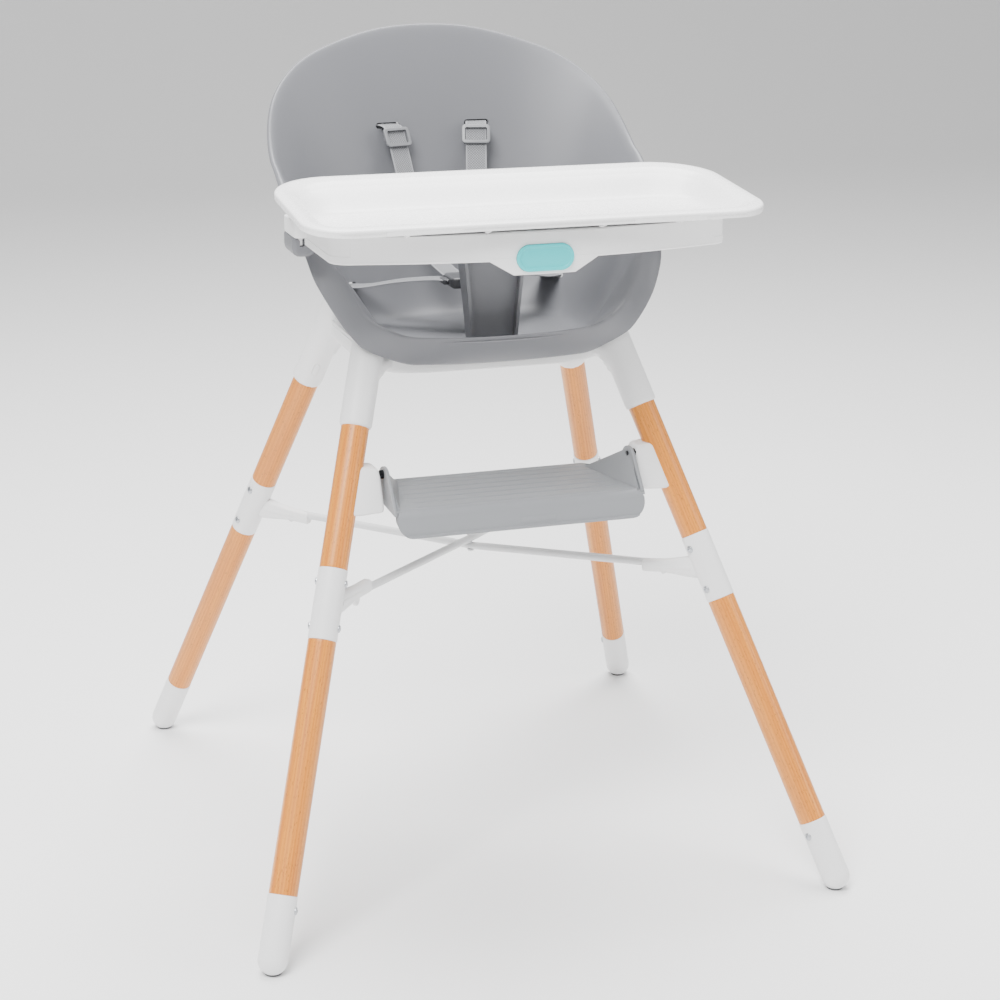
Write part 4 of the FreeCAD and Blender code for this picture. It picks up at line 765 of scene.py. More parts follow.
def hub_surface():
    """Overlapping closed surfaces of the hub: the tub is a stack of superellipses that widen
    upwards through a quarter-round edge, and each sleeve is turned about its leg."""
    angle = np.linspace(0, 360, 160, endpoint=False)
    rows = [np.zeros((160, 3)) + [0, 0, HUB_BOTTOM]]
    for t in np.linspace(0, 1, 14):
        ease = math.sin(t * math.pi / 2)
        wide = HUB_FOOT_X + (HUB_HALF_X - HUB_FOOT_X) * ease
        deep = HUB_FOOT_Y + (HUB_HALF_Y - HUB_FOOT_Y) * min(1, 1.6 * ease)
        rows.append(oval(angle, wide, deep, deep, 0, 7.0) + [0, 0,
                HUB_BOTTOM + 19 * (1 - math.cos(t * math.pi / 2))])
    rows.append(oval(angle, HUB_HALF_X, HUB_HALF_Y, HUB_HALF_Y, 0, 7.0) + [0, 0, HUB_TOP])
    rows.append(np.zeros((160, 3)) + [0, 0, HUB_TOP])
    parts = [(np.concatenate(rows), grid_faces(len(rows), 160, True))]
    length = (SLEEVE_TOP - SLEEVE_BOTTOM) * STRETCH
    dome = np.linspace(0, math.pi / 2, 8)[1:]
    outline = [(0, 0), (SLEEVE_R - 2, 0), (SLEEVE_R - 0.6, 0.6), (SLEEVE_R, 2), (SLEEVE_R, length)]
    outline += [(SLEEVE_R * math.cos(a), length + SLEEVE_R * math.sin(a)) for a in dome]
    for corner in CORNERS:
        points, faces = turned(outline)
        parts.append((moved(leg_frame(corner, SLEEVE_BOTTOM), points), faces))
        side, back = CORNERS[corner]
        wall = back * (HUB_HALF_Y - 5)
        for reach, z in ((31, 575), (27, 568), (23.5, 561), (21, 554)):
            foot = leg_point(corner, z)
            near = np.array([foot[0] - side * reach, wall, z + 9])
            parts.append(tube_rows([foot, (foot + near) / 2, near], [(0, 1, 0)] * 3, [(0, 0, 1)] * 3,
                                   [24, 16, 10],
                                   [14, 14, 12], 3.0, 20))
    return parts


def melted(name, parts, cell, rounds):
    """One skin round overlapping surfaces: they are rebuilt on a fine cubic grid, which fuses them,
    and then relaxed, which leaves soft moulded fillets where they meet."""
    lump = new_object(name, solid_mesh(name, *joined(parts)))
    fuse = lump.modifiers.new("fuse", "REMESH")
    fuse.mode, fuse.voxel_size, fuse.adaptivity = "VOXEL", cell * 0.001, 0.0
    relax = lump.modifiers.new("relax", "SMOOTH")
    relax.factor, relax.iterations = 0.5, rounds
    return applied(lump)


def lock_place(corner):
    """Middle of a leg lock on the sleeve's axis: third direction out of the sleeve, towards the
    middle of the chair, second one up the leg."""
    up = leg_frame(corner, LOCK_HEIGHT)[:3, 2]
    out = np.array([0, -CORNERS[corner][1], 0.0])
    return upright_frame(leg_point(corner, LOCK_HEIGHT), out - up * np.dot(out, up), up)


def shell_core():
    """Closed surface in the middle of the shell's wall, carried up through its mouth: the hub ends
    where it meets it."""
    angle = np.linspace(0, 360, 144, endpoint=False)
    pan, centre = oval(angle, **PAN), np.array([0, PAN["middle"], 0])
    level = np.array([0, 0, PAN_Z - WALL / 2])
    s = np.linspace(1, 0.05, 36)
    rows = [centre + (pan - centre) * t + level for t in np.linspace(0, 0.96, 6)]
    rows += list(bucket(angle, s) + bucket_normal(angle, s) * WALL / 2)
    rows.append(rows[-1] * [1, 1, 0] + [0, 0, 1000.0])
    rows.append(np.zeros_like(pan) + [0, 0, 1000.0])
    return np.concatenate(rows), grid_faces(len(rows), len(angle), True)


def side_ridges():
    """Four low rounded ridges along each side of the tub, one above the other."""
    ridges = []
    for side in (1, -1):
        for k, z in enumerate((589.0, 594.0, 599.0, 604.0)):
            x = side * (HUB_HALF_X - 0.7 * (3 - k))
            path = np.stack([np.full(12, x), np.linspace(-58, 58, 12), np.full(12, z)], 1)
            ridges.append(tube_rows(path, [(0, 0, 1)] * 12, [(1, 0, 0)] * 12, [2.4] * 12, [3.0] * 12,
                                    2.0, 16))
    return ridges


pockets = []
for corner in CORNERS:
    pocket = slab(stadium(LOCK_LENGTH + 0.7, LOCK_WIDTH + 0.7), WOOD_R - 3.0, SLEEVE_R + 6)
    pocket = (pocket[0][:, [1, 0, 2]], pocket[1])
    pockets.append((moved(lock_place(corner), pocket[0]), pocket[1]))
    bar = bpy.data.objects["beech_upper_leg_" + corner]
    bar.data = carved(bar.data, pockets[-1:])
hub_mesh = carved(melted("hub", hub_surface(), 2.0, 10), pockets + [shell_core()], 50.0)
add_piece("moulded_seat_hub", hub_mesh, white_nylon, "frame", ["seat_hub"])
add_piece("hub_side_ridges", solid_mesh("ridges", *joined(side_ridges())), white_nylon, "frame")
for corner in CORNERS:
    face = slab(stadium(LOCK_LENGTH, LOCK_WIDTH), WOOD_R + 0.6, SLEEVE_R + 0.4, 0.7)
    points = moved(lock_place(corner), face[0][:, [1, 0, 2]])
    button = solid_mesh("lock_" + corner, points, face[1])
    add_piece("leg_lock_" + corner, button, white_nylon, "leg_lock_button_" + corner,
              ["leg_lock_button_" + corner])


# ---- tray rails -----------------------------------------------------------------------------
# Two short ledges moulded in the shell's grey, on its outside, that the tray's arms slide along.
RAIL_OUT, RAIL_FRONT, RAIL_REAR, RAIL_BOTTOM, RAIL_TOP = 231.0, -112.0, -36.0, 712.0, 733.0
TONGUE_X, TONGUE_REAR = 222.0, -63.0


def rail_surface(side):
    """A ledge's section, rounded at its lower outer corner and grooved from above for the tray's
    tongue, carried along Y; it narrows towards the back, where it runs into the shell."""
    low_groove, high = RAIL_TOP - 9.5, RAIL_TOP
    section = [(RAIL_OUT, high), (TONGUE_X + 3.2, high), (TONGUE_X + 3.2, low_groove), (TONGUE_X - 3.2,
                                                                                        low_groove),
               (TONGUE_X - 3.2, high), (206, high), (206, RAIL_BOTTOM + 4), (212,
                       RAIL_BOTTOM), (RAIL_OUT, RAIL_BOTTOM)]
    outline = round_corners(section, [2, 0.6, 0.6, 0.6, 0.6, 2, 4, 4, 10], 5)
    rows, count = [], len(outline)
    for y in [RAIL_FRONT, RAIL_FRONT + 0.8, RAIL_FRONT + 2.5] + list(np.linspace(RAIL_FRONT + 6,
                                                                                 RAIL_REAR, 14)):
        inset = max(0.0, 2.5 - (y - RAIL_FRONT))
        tail = np.clip((y - RAIL_REAR + 34) / 34, 0, 1) ** 1.5
        x = outline[:, 0] - (outline[:, 0] - 203) * 0.75 * tail
        z = outline[:, 1] + (722 - outline[:, 1]) * inset * 0.12
        rows.append(np.stack([side * (x + (216 - x) * inset * 0.1), np.full(count, y), z], 1))
    return capped(rows)


for label, side in (("left", 1), ("right", -1)):
    rail = solid_mesh("rail_" + label, *rail_surface(side))
    add_piece("moulded_rail_" + label, rail, grey_polypropylene, "frame",
              ["arm_rail_" + label])


# ---- tray base ------------------------------------------------------------------------------
# White moulding that carries the cover and slides on the shell: a deck with a deep wall round it,
# bowed in front, where it deepens into a hump round the release button. An arm at each side hangs
# over the rail with its tongue in the rail's groove.
BASE_HALF, BASE_FRONT, BASE_REAR, BASE_BOTTOM, DECK_TOP = 218.0, -242.0, -72.0, 724.6, 753.0
FASCIA, BASE_CORNER, BASE_BACK_CORNER, TRAY_WALL = -269.5, 24.0, 12.0, 3.0
HUMP_BOTTOM, HUMP_HALF_TOP, HUMP_HALF_BOTTOM, HUMP_REAR = 709.5, 59.3, 33.5, -232.0
BUTTON_WIDTH, BUTTON_HEIGHT, BUTTON_Z = 62.0, 28.0, 727.0
RAIL_CLEAR_X, RAIL_CLEAR_Y, RAIL_CLEAR_Z = 204.0, -113.3, 733.6
PARTING_Z, STEP_X, STEP_DEPTH = 727.6, 199.5, 0.6


def base_line():
    """Outline of the base from the middle of the front round to the middle of the back, and its
    mirror image: a wide arc in front, a quarter circle, a straight side and a small corner."""
    chord, rise = BASE_HALF - BASE_CORNER, BASE_FRONT - FASCIA
    bow = (chord ** 2 + rise ** 2) / (2 * rise)
    x = np.concatenate([np.linspace(0, HUMP_HALF_BOTTOM, 9), np.linspace(HUMP_HALF_BOTTOM,
                                                                         HUMP_HALF_TOP, 8)[1:],
                        np.linspace(HUMP_HALF_TOP, chord, 20)[1:-1]])
    front = np.stack([x, FASCIA + bow - np.sqrt(bow ** 2 - x ** 2)], 1)
    turn = np.radians(np.concatenate([[2, 7, 12.7, 13.6], np.linspace(20, 90, 10)]))
    corner = np.stack([chord + BASE_CORNER * np.sin(turn),
                       BASE_FRONT + BASE_CORNER * (1 - np.cos(turn))], 1)
    y = [-180.0, -140.0, RAIL_CLEAR_Y - 0.05, RAIL_CLEAR_Y + 0.05, -100.0]
    side = np.stack([np.full(5, BASE_HALF), y], 1)
    turn = np.linspace(0, math.pi / 2, 7)
    back = np.stack([BASE_HALF - BASE_BACK_CORNER * (1 - np.cos(turn)),
                     BASE_REAR - BASE_BACK_CORNER * (1 - np.sin(turn))], 1)
    x = [RAIL_CLEAR_X + 0.05, RAIL_CLEAR_X - 0.05, 150, 75, 0]
    half = np.concatenate([front, corner, side, back, np.stack([x, np.full(5, BASE_REAR)], 1)])
    return np.concatenate([half, half[-2:0:-1] * [-1, 1]])


def base_surface():
    """Closed skin of the deck and its wall. Every row is a level of the outline, and the bottom
    rows follow the lower edge: it drops along straight slopes to the hump, and is higher at the
    sides, where the rails pass. A fine parting groove runs round it, and the front corners are
    stepped in above the rails' level."""
    line = base_line()
    ahead = np.roll(line, -1, 0) - np.roll(line, 1, 0)
    normal = unit(np.stack([ahead[:, 1], -ahead[:, 0]], 1))
    x, y = np.abs(line[:, 0]), line[:, 1]
    slope = np.clip((x - HUMP_HALF_BOTTOM) / (HUMP_HALF_TOP - HUMP_HALF_BOTTOM), 0, 1)
    low = np.where(y < HUMP_REAR, HUMP_BOTTOM + (BASE_BOTTOM - HUMP_BOTTOM) * slope, BASE_BOTTOM)
    low = np.where((x > RAIL_CLEAR_X) & (y > RAIL_CLEAR_Y), RAIL_CLEAR_Z, low)
    step = np.where((x > STEP_X) & (y < RAIL_CLEAR_Y), STEP_DEPTH, 0.0)
    edge = 1.5
    levels = [(DECK_TOP, 0.8, 1), (DECK_TOP - 0.2, 0.3, 1), (DECK_TOP - 0.8, 0, 1), (RAIL_TOP + 0.2, 0,
                                                                                     1),
              (RAIL_TOP - 0.2, 0, 0), (PARTING_Z + 0.4, 0, 0), (PARTING_Z + 0.15, 0.3, 0),
              (PARTING_Z - 0.15, 0.3, 0), (PARTING_Z - 0.4, 0, 0)]
    rows = []
    for z, inset, stepped in levels:
        height = np.maximum(z, low + edge)
        rows.append(np.column_stack([line - normal * (inset + step * stepped)[:, None], height]))
    for t in np.linspace(0, math.pi / 2, 5):
        inset = edge * (1 - math.cos(t)) + step * (low > BASE_BOTTOM)
        rows.append(np.column_stack([line - normal * inset[:, None], low + edge * (1 - math.sin(t))]))
    for z in (low, np.full(len(line), DECK_TOP - TRAY_WALL)):
        rows.append(np.column_stack([line - normal * TRAY_WALL, z]))
    return capped(rows)


def facing_front(shape, y=0.0):
    """A slab drawn as width and height, turned so that its thickness runs along Y."""
    points, faces = shape
    return np.stack([points[:, 0], points[:, 2] + y, points[:, 1]], 1), faces


white_plastic = moulded("white_polypropylene", "#f0f0f0", 0.34, 0.8, 0.02, 0.02)
base_mesh = solid_mesh("tray_base", *base_surface())
hole = facing_front(slab(stadium(BUTTON_WIDTH + 0.6, BUTTON_HEIGHT + 0.6) + [0, BUTTON_Z], FASCIA - 6,
                         FASCIA + 8))
add_piece("moulded_tray_base", carved(base_mesh, [hole]), white_plastic, "tray",
          ["tray_base"])

floor_z = HUMP_BOTTOM + 0.1
hump = [(-HUMP_HALF_TOP + 0.5, BASE_BOTTOM), (-HUMP_HALF_BOTTOM, floor_z), (HUMP_HALF_BOTTOM, floor_z),
        (HUMP_HALF_TOP - 0.5, BASE_BOTTOM)]
trough = hump + [(x * 0.94, z + 2.9 * (z < BASE_BOTTOM)) for x, z in hump[::-1]]
parts = [facing_front(slab(trough, FASCIA + 4.5, HUMP_REAR)),
         facing_front(slab(hump, HUMP_REAR - TRAY_WALL, HUMP_REAR + 0.1))]
for side in (1, -1):
    arm = round_corners([(BASE_HALF - 4, -120), (RAIL_OUT - 1, -120), (RAIL_OUT - 1, TONGUE_REAR),
                         (BASE_HALF - 4, TONGUE_REAR)], [1, 10, 6, 1])
    tongue = round_corners([(TONGUE_X - 2.7, -110), (TONGUE_X + 2.7, -110), (TONGUE_X + 2.7, TONGUE_REAR),
                            (TONGUE_X - 2.7, TONGUE_REAR)], 1.5)
    for outline, low, high, edge in ((arm, RAIL_TOP + 0.3, 751, 1.2), (tongue, RAIL_TOP - 9,
                                                                       RAIL_TOP + 1, 0.5)):
        points, faces = slab(outline, low, high, edge)
        parts.append((points * [side, 1, 1], faces))
add_piece("tray_base_arms", solid_mesh("arms", *joined(parts)), white_plastic, "tray")


# ---- tray cover -----------------------------------------------------------------------------
# Dish of smooth white plastic that lifts off the base to be washed: a level floor, sloping sides
# and a broad rounded rim, low in front and high at the back, with a thin skirt all round.
COVER_HALF, COVER_FRONT, COVER_REAR, COVER_FRONT_R, COVER_REAR_R = 251.5, -287.0, -60.0, 45.0, 70.0
RIM_FRONT_Z, RIM_REAR_Z, COVER_FLOOR, COVER_UNDER, SKIRT = 768.0, 790.0, 757.0, 754.0, 8.0
RIM_WIDTH, FLOOR_INSET = 15.0, 31.0


def cover_line(inset):
    """Rounded rectangle drawn in by an inset, with the same number of points each time: straight
    sides between four quarter circles. Inside the rim the back is drawn in further, so that the
    slope there is broad."""
    deeper = max(inset - RIM_WIDTH, 0)
    half, front, rear = COVER_HALF - inset - 0.5 * deeper, COVER_FRONT + inset, COVER_REAR - inset - 2.0 * deeper
    front_r, rear_r = COVER_FRONT_R - inset, COVER_REAR_R - inset
    turn = np.linspace(0, math.pi / 2, 16)
    marks = np.array([0, 25, 50, 75, 92.0, 92.6, 120, 150, 172.3, 172.9])
    straight = np.stack([marks, np.full(len(marks), front)], 1)
    corner = np.stack([half - front_r + front_r * np.sin(turn), front + front_r * (1 - np.cos(turn))], 1)
    y = np.linspace(front + front_r, rear - rear_r, 7)[1:-1]
    side = np.stack([np.full(len(y), half), y], 1)
    back = np.stack([half - rear_r + rear_r * np.cos(turn), rear - rear_r + rear_r * np.sin(turn)], 1)
    x = np.linspace(half - rear_r, 0, 8)[1:]
    half_line = np.concatenate([straight, corner, side, back, np.stack([x, np.full(len(x), rear)], 1)])
    return np.concatenate([half_line, half_line[-2:0:-1] * [-1, 1]])


def cover_surface():
    """Closed skin. The rim lies in a plane that rises towards the back; between the rim and the
    level floor the height is blended with an eased step, and the underside is the same, lower."""
    rise = (RIM_REAR_Z - RIM_FRONT_Z) / (COVER_REAR - COVER_FRONT)
    marks = np.abs(cover_line(0)[:, 0])
    front = cover_line(0)[:, 1] < COVER_FRONT + 1
    relief = np.where(front & ((marks < 92.3) | (marks > 172.6)), 0.9, 0.0)

    def row(inset, drop, level=None, share=0.0, under=0.0):
        points = cover_line(inset)
        rim = RIM_FRONT_Z + rise * (points[:, 1] - COVER_FRONT) - drop
        height = rim if level is None else rim * (1 - share) + level * share
        if under:
            points = points + (cover_line(inset + 1) - cover_line(inset)) * relief[:, None]
        return np.column_stack([points, height])

    rows = [row(0.5, SKIRT, under=1), row(0.1, SKIRT - 0.4, under=1), row(0, SKIRT - 0.9, under=1),
            row(0, 4.2, under=1), row(0, 4.0), row(0, 3.6), row(0.25, 3.5), row(0.25, 3.3), row(0, 3.2)]
    for t in np.linspace(0.05, 1, 7) * math.pi / 2:
        rows.append(row(3.2 * (1 - math.cos(t)), 2.6 * (1 - math.sin(t))))
    for t in np.linspace(0.12, 1, 7):
        rows.append(row(3.2 + (RIM_WIDTH - 3.2) * t, -1.0 * math.sin(t * math.pi) + 0.4 * t))
    for t in np.linspace(0.06, 1, 16):
        ease = t * t * (3 - 2 * t)
        rows.append(row(RIM_WIDTH + (FLOOR_INSET - RIM_WIDTH) * t, 0.4, COVER_FLOOR, ease))
    floor_row = len(rows)
    rows.append(row(FLOOR_INSET + 5, 0, COVER_FLOOR, 1.0))
    rows.append(row(FLOOR_INSET + 5, 0, COVER_UNDER, 1.0))
    for t in np.linspace(1, 0, 12):
        ease = t * t * (3 - 2 * t)
        rows.append(row(RIM_WIDTH + 1.5 + (FLOOR_INSET - RIM_WIDTH) * t, 3.4, COVER_UNDER, ease))
    rows += [row(5.0, 3.0), row(3.4, 3.8), row(3.0, SKIRT - 0.5), row(2.6, SKIRT)]
    count = len(marks)
    faces = [tuple(f) for f in grid_faces(len(rows), count, True)]
    faces = [f for f in faces if not floor_row * count <= min(f) < (floor_row + 1) * count]
    faces.append(tuple(range(floor_row * count, (floor_row + 1) * count)))
    faces.append(tuple(range((floor_row + 1) * count, (floor_row + 2) * count))[::-1])
    last = (len(rows) - 1) * count
    faces += [(last + i, last + (i + 1) % count, (i + 1) % count, i) for i in range(count)]
    return np.concatenate(rows), faces


def rim_hooks():
    """Four small wedges under the front of the rim that catch the base."""
    hooks = []
    for x in (-148.0, -62.0, 62.0, 148.0):
        wedge = [(-262.0, 764.0), (-279.0, 764.0), (-279.0, 758.0), (-266.0, 754.5), (-262.0, 756.0)]
        points, faces = slab(round_corners(wedge, 1.0, 3), x - 1.5, x + 1.5, 0.4)
        hooks.append((np.stack([points[:, 2], points[:, 0], points[:, 1]], 1), faces))
    return hooks


cover_white = moulded("tray_cover_white", "#f2f2f2", 0.26, 1.2, 0.008, 0.015)
add_piece("moulded_tray_cover", solid_mesh("tray_cover", *cover_surface()), cover_white, "tray_cover",
          ["tray_cover"])
add_piece("cover_rim_hooks", solid_mesh("hooks", *joined(rim_hooks())), cover_white, "tray_cover")


# ---- release button -------------------------------------------------------------------------
# Teal push button in the middle of the tray's front, with a raised rim round a shallow dish. Its
# stem carries a slotted plate that draws the two latches in.
BUTTON_PROUD, LATCH_Y, LATCH_TRAVEL, BUTTON_TRAVEL, PIN_X, PIN_R = 2.5, -88.0, 5.0, 6.0, 22.0, 2.5


def button_cap():
    """Stadium outlines drawn in row by row, from the back edge over the rim into the dish."""
    rows = []
    for inset, height in ((0, -8.5), (0, -1.0), (0.1, -0.5), (0.45, -0.12), (1.0, 0.0), (2.6, 0.0),
                          (3.1, -0.15),
                          (3.5, -0.6), (3.8, -1.05), (4.4, -1.2), (7.0, -1.1), (10.0, -0.95)):
        line = stadium(BUTTON_WIDTH - 2 * inset, BUTTON_HEIGHT - 2 * inset)
        rows.append(np.column_stack([line, np.full(len(line), -height)]))
    count = len(line)
    faces = [tuple(f) for f in grid_faces(len(rows), count, True)]
    faces += [tuple(range(count)), tuple(range(count * (len(rows) - 1), count * len(rows)))]
    return np.concatenate(rows) + [0, BUTTON_Z, FASCIA - BUTTON_PROUD], faces


def cam_plate():
    """Plate at the end of the stem with a slanting slot for each latch's pin."""
    outline = [(-34, LATCH_Y - 14), (34, LATCH_Y - 14), (34, LATCH_Y + 6), (-34, LATCH_Y + 6)]
    plate = solid_mesh("cam", *slab(outline, 740, 744))
    slots, tilt = [], math.atan2(BUTTON_TRAVEL, LATCH_TRAVEL)
    for side in (1, -1):
        slot = slab(stadium(math.hypot(LATCH_TRAVEL, BUTTON_TRAVEL) + 2 * PIN_R + 0.6, 2 * PIN_R + 0.6),
                    735, 750)
        x, y = slot[0][:, 0], slot[0][:, 1]
        turned_slot = np.stack([(x * math.cos(tilt) - y * math.sin(tilt)) * side + side * (PIN_X - LATCH_TRAVEL / 2),
                                x * math.sin(tilt) + y * math.cos(tilt) + LATCH_Y - BUTTON_TRAVEL / 2, slot[0][:, 2]], 1)
        slots.append((turned_slot, slot[1]))
    return carved(plate, slots)


def button_coil():
    """Coil spring behind the button: a helix of round wire whose last turn at each end lies flat."""
    t = np.linspace(0, 1, 260)
    turns, start, finish, radius, wire = 8.0, FASCIA + 6.8, HUMP_REAR - TRAY_WALL - 0.8, 3.5, 0.9
    angle = t * turns * 2 * math.pi
    ease = np.clip((t * turns - 0.9) / (turns - 1.8), 0, 1)
    out = np.stack([np.cos(angle), 0 * t, np.sin(angle)], 1)
    path = out * radius + np.stack([0 * t, start + (finish - start) * ease, np.full(len(t), 717.0)], 1)
    return tube_rows(path, [(0, 1, 0)] * len(t), out, [wire] * len(t), [wire] * len(t), 2.0, 12)


teal_plastic = moulded("teal_plastic", "#2fc6ca", 0.33, 0.8, 0.01, 0.02)
add_piece("release_button_cap", solid_mesh("button", *facing_front(button_cap())), teal_plastic,
          "release_button",
          ["release_button"])
stem = slab([(-6, FASCIA + 5), (6, FASCIA + 5), (6, LATCH_Y - 12), (-6, LATCH_Y - 12)], 740, 746)
add_piece("release_button_stem", solid_mesh("stem", *stem), teal_plastic, "release_button")
add_piece("release_button_cam", cam_plate(), teal_plastic, "release_button")
coil = add_piece("button_coil", solid_mesh("coil", *button_coil()), zinc_steel, "tray",
                 ["button_spring"])
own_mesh(coil)


# ---- footrest -------------------------------------------------------------------------------
# Grey moulded tread with shallow ribs, a turned-down lip in front and an upright ear at each end
# that swings on a black pin in a white bracket screwed to each front leg.
TREAD_Z, TREAD_THICKNESS, TREAD_FRONT, TREAD_REAR = 444.0, 4.0, -196.0, -72.0
TREAD_HALF, TREAD_HALF_REAR, TREAD_CUT, LIP_HALF, LIP_CORNER = 139.0, 114.0, -94.0, 143.0, 18.0
LIP_BOTTOM_Y, LIP_BOTTOM_Z, EAR_OUTER = -206.0, 415.0, 145.0
GROOVES = (-84.0, -100.0, -117.0, -134.0, -151.0, -168.0, -186.0)
GROOVE_DEPTH, GROOVE_SPREAD, GROOVE_END = 1.5, 1.2, 116.0
BRACKET_INNER, BRACKET_BOTTOM, BRACKET_TOP, BRACKET_DEPTH = 149.0, 434.0, 484.0, 26.0


def tread_width(y, z):
    """Half width of the footrest at a point of its section: the rear corners are cut off along a
    straight line, and the lip's lower corners are quarter circles."""
    back = np.clip((y - TREAD_CUT) / (TREAD_REAR - TREAD_CUT), 0, 1)
    wide = TREAD_HALF + (TREAD_HALF_REAR - TREAD_HALF) * back
    fall = np.clip((TREAD_Z - z) / 8.0, 0, 1) * (y < TREAD_FRONT + 8)
    wide = wide + (LIP_HALF - TREAD_HALF) * fall * fall * (3 - 2 * fall)
    corner = np.clip(LIP_BOTTOM_Z + LIP_CORNER - z, 0, LIP_CORNER)
    return wide - (LIP_CORNER - np.sqrt(LIP_CORNER ** 2 - corner ** 2))


def footrest_surface():
    """Section of tread and lip carried across the chair. The top dips by a smooth bell into each
    groove, and the dips fade out near both ends."""
    top = np.linspace(TREAD_REAR + 1.5, TREAD_FRONT + 9, 150)
    upper = np.stack([top, np.full(len(top), TREAD_Z)], 1)
    bend = np.array([(TREAD_FRONT + 8, TREAD_Z), (TREAD_FRONT, TREAD_Z - 0.5), (TREAD_FRONT - 2.6,
                                                                                TREAD_Z - 8)])
    bend = quadratic(*bend, np.linspace(0, 1, 9)[:, None])
    fall = np.linspace(TREAD_Z - 10, LIP_BOTTOM_Z + 3.5, 16)
    face_y = TREAD_FRONT - 3 + (LIP_BOTTOM_Y - TREAD_FRONT + 3) * (TREAD_Z - 10 - fall) / (TREAD_Z - 10 - LIP_BOTTOM_Z)
    face = np.stack([face_y, fall], 1)
    bead = [(LIP_BOTTOM_Y + 0.2, LIP_BOTTOM_Z + 3.2), (LIP_BOTTOM_Y - 1.0, LIP_BOTTOM_Z + 2.6),
            (LIP_BOTTOM_Y - 1.2, LIP_BOTTOM_Z + 1.2), (LIP_BOTTOM_Y - 0.6, LIP_BOTTOM_Z + 0.1),
            (LIP_BOTTOM_Y + 1.5, LIP_BOTTOM_Z), (LIP_BOTTOM_Y + 3.2, LIP_BOTTOM_Z + 0.4)]
    inner = [(LIP_BOTTOM_Y + 3.8, LIP_BOTTOM_Z + 2), (TREAD_FRONT + 2.5, TREAD_Z - 12),
             (TREAD_FRONT + 6, TREAD_Z - 6), (TREAD_FRONT + 11, TREAD_Z - TREAD_THICKNESS)]
    under = [(TREAD_REAR - 1, TREAD_Z - TREAD_THICKNESS), (TREAD_REAR, TREAD_Z - TREAD_THICKNESS + 0.8),
             (TREAD_REAR, TREAD_Z - 1.2), (TREAD_REAR - 0.5, TREAD_Z - 0.3)]
    section = np.concatenate([upper, bend, face, bead, inner, under])
    count = len(section)
    y, z = section[:, 0], section[:, 1]
    dips = sum(np.exp(-((y - place) / GROOVE_SPREAD) ** 2) for place in GROOVES)
    dips = np.where(np.arange(count) < len(upper), dips, 0.0)
    share = np.concatenate([[-1, -0.997, -0.985], np.linspace(-0.95, 0.95, 41), [0.985, 0.997, 1]])
    rows = []
    for u in share:
        x = u * tread_width(y, z)
        fade = np.clip((GROOVE_END - np.abs(x)) / 4, 0, 1)
        rows.append(np.stack([x, y, z - GROOVE_DEPTH * dips * fade * (1 if abs(u) < 0.99 else 0)], 1))
    return capped(rows)


def footrest_ends():
    """At each end: a sloping three-cornered facet that rises from the tread to the ear, the ear
    itself, and a beam below it."""
    parts = []
    ear = round_corners([(-197, 438), (-98, 440), (-112, 452), (-139, 482), (-158, 482)], [3, 3, 12, 9,
                                                                                           9], 6)
    plate = slab(ear, EAR_OUTER - 4, EAR_OUTER, 0.8)
    beam = slab([(-194, 438), (-96, 438), (-96, 443.4), (-194, 443.4)], TREAD_HALF - 3, EAR_OUTER - 1,
                0.8)
    facet = np.array([(112, -86, 444.2), (138, -192, 444.2), (142.5, -152, 477), (142.5, -140, 477),
                      (114, -84, 441), (141, -192, 441), (144, -152, 474), (144, -138, 474)], float)
    facet_faces = [(0, 1, 2, 3), (7, 6, 5, 4), (0, 4, 5, 1), (1, 5, 6, 2), (2, 6, 7, 3), (3, 7, 4, 0)]
    for side in (1, -1):
        for points, faces in (plate, beam):
            parts.append((np.stack([side * points[:, 2], points[:, 0], points[:, 1]], 1), faces))
        parts.append((facet * [side, 1, 1], facet_faces))
    return parts


def blank_plate():
    """Plain raised panel in the middle of the lip's face."""
    points, faces = slab(round_corners([(-3, -3.2), (37, -3.2), (37, 3.2), (-3, 3.2)], 0.8, 3), -0.6,
                         0.35, 0.2, 2)
    tilt = math.atan2(LIP_BOTTOM_Y - TREAD_FRONT + 3, LIP_BOTTOM_Z - TREAD_Z + 10)
    up = np.array([0, math.sin(tilt), math.cos(tilt)]) * math.copysign(1, math.cos(tilt))
    out = np.array([0, -up[2], up[1]])
    centre_z = LIP_BOTTOM_Z + 9
    centre_y = TREAD_FRONT - 3 + (LIP_BOTTOM_Y - TREAD_FRONT + 3) * (TREAD_Z - 10 - centre_z) / (TREAD_Z - 10 - LIP_BOTTOM_Z)
    place = np.array([0, centre_y, centre_z])
    return points[:, :1] * [1, 0, 0] + points[:, 1:2] * up + points[:, 2:3] * out + place, faces


def bracket_surface(side):
    """Rounded block between the footrest's ear and the leg. It leans with the leg."""
    low, high = leg_point("front_left", BRACKET_BOTTOM), leg_point("front_left", BRACKET_TOP)
    outline = round_corners([(BRACKET_INNER, BRACKET_BOTTOM + 2), (low[0] - 3, BRACKET_BOTTOM),
                             (high[0] + 9, BRACKET_TOP - 13), (high[0] - 6,
                                     BRACKET_TOP), (BRACKET_INNER, BRACKET_TOP - 3)],
                            [5, 16, 9, 12, 8], 7)
    points, faces = slab(outline, -12.0, BRACKET_DEPTH - 12.0, 3.0, 5)
    lean = low[1] + (high[1] - low[1]) * (points[:, 1] - BRACKET_BOTTOM) / (BRACKET_TOP - BRACKET_BOTTOM)
    return np.stack([side * points[:, 0], lean + points[:, 2], points[:, 1]], 1), faces


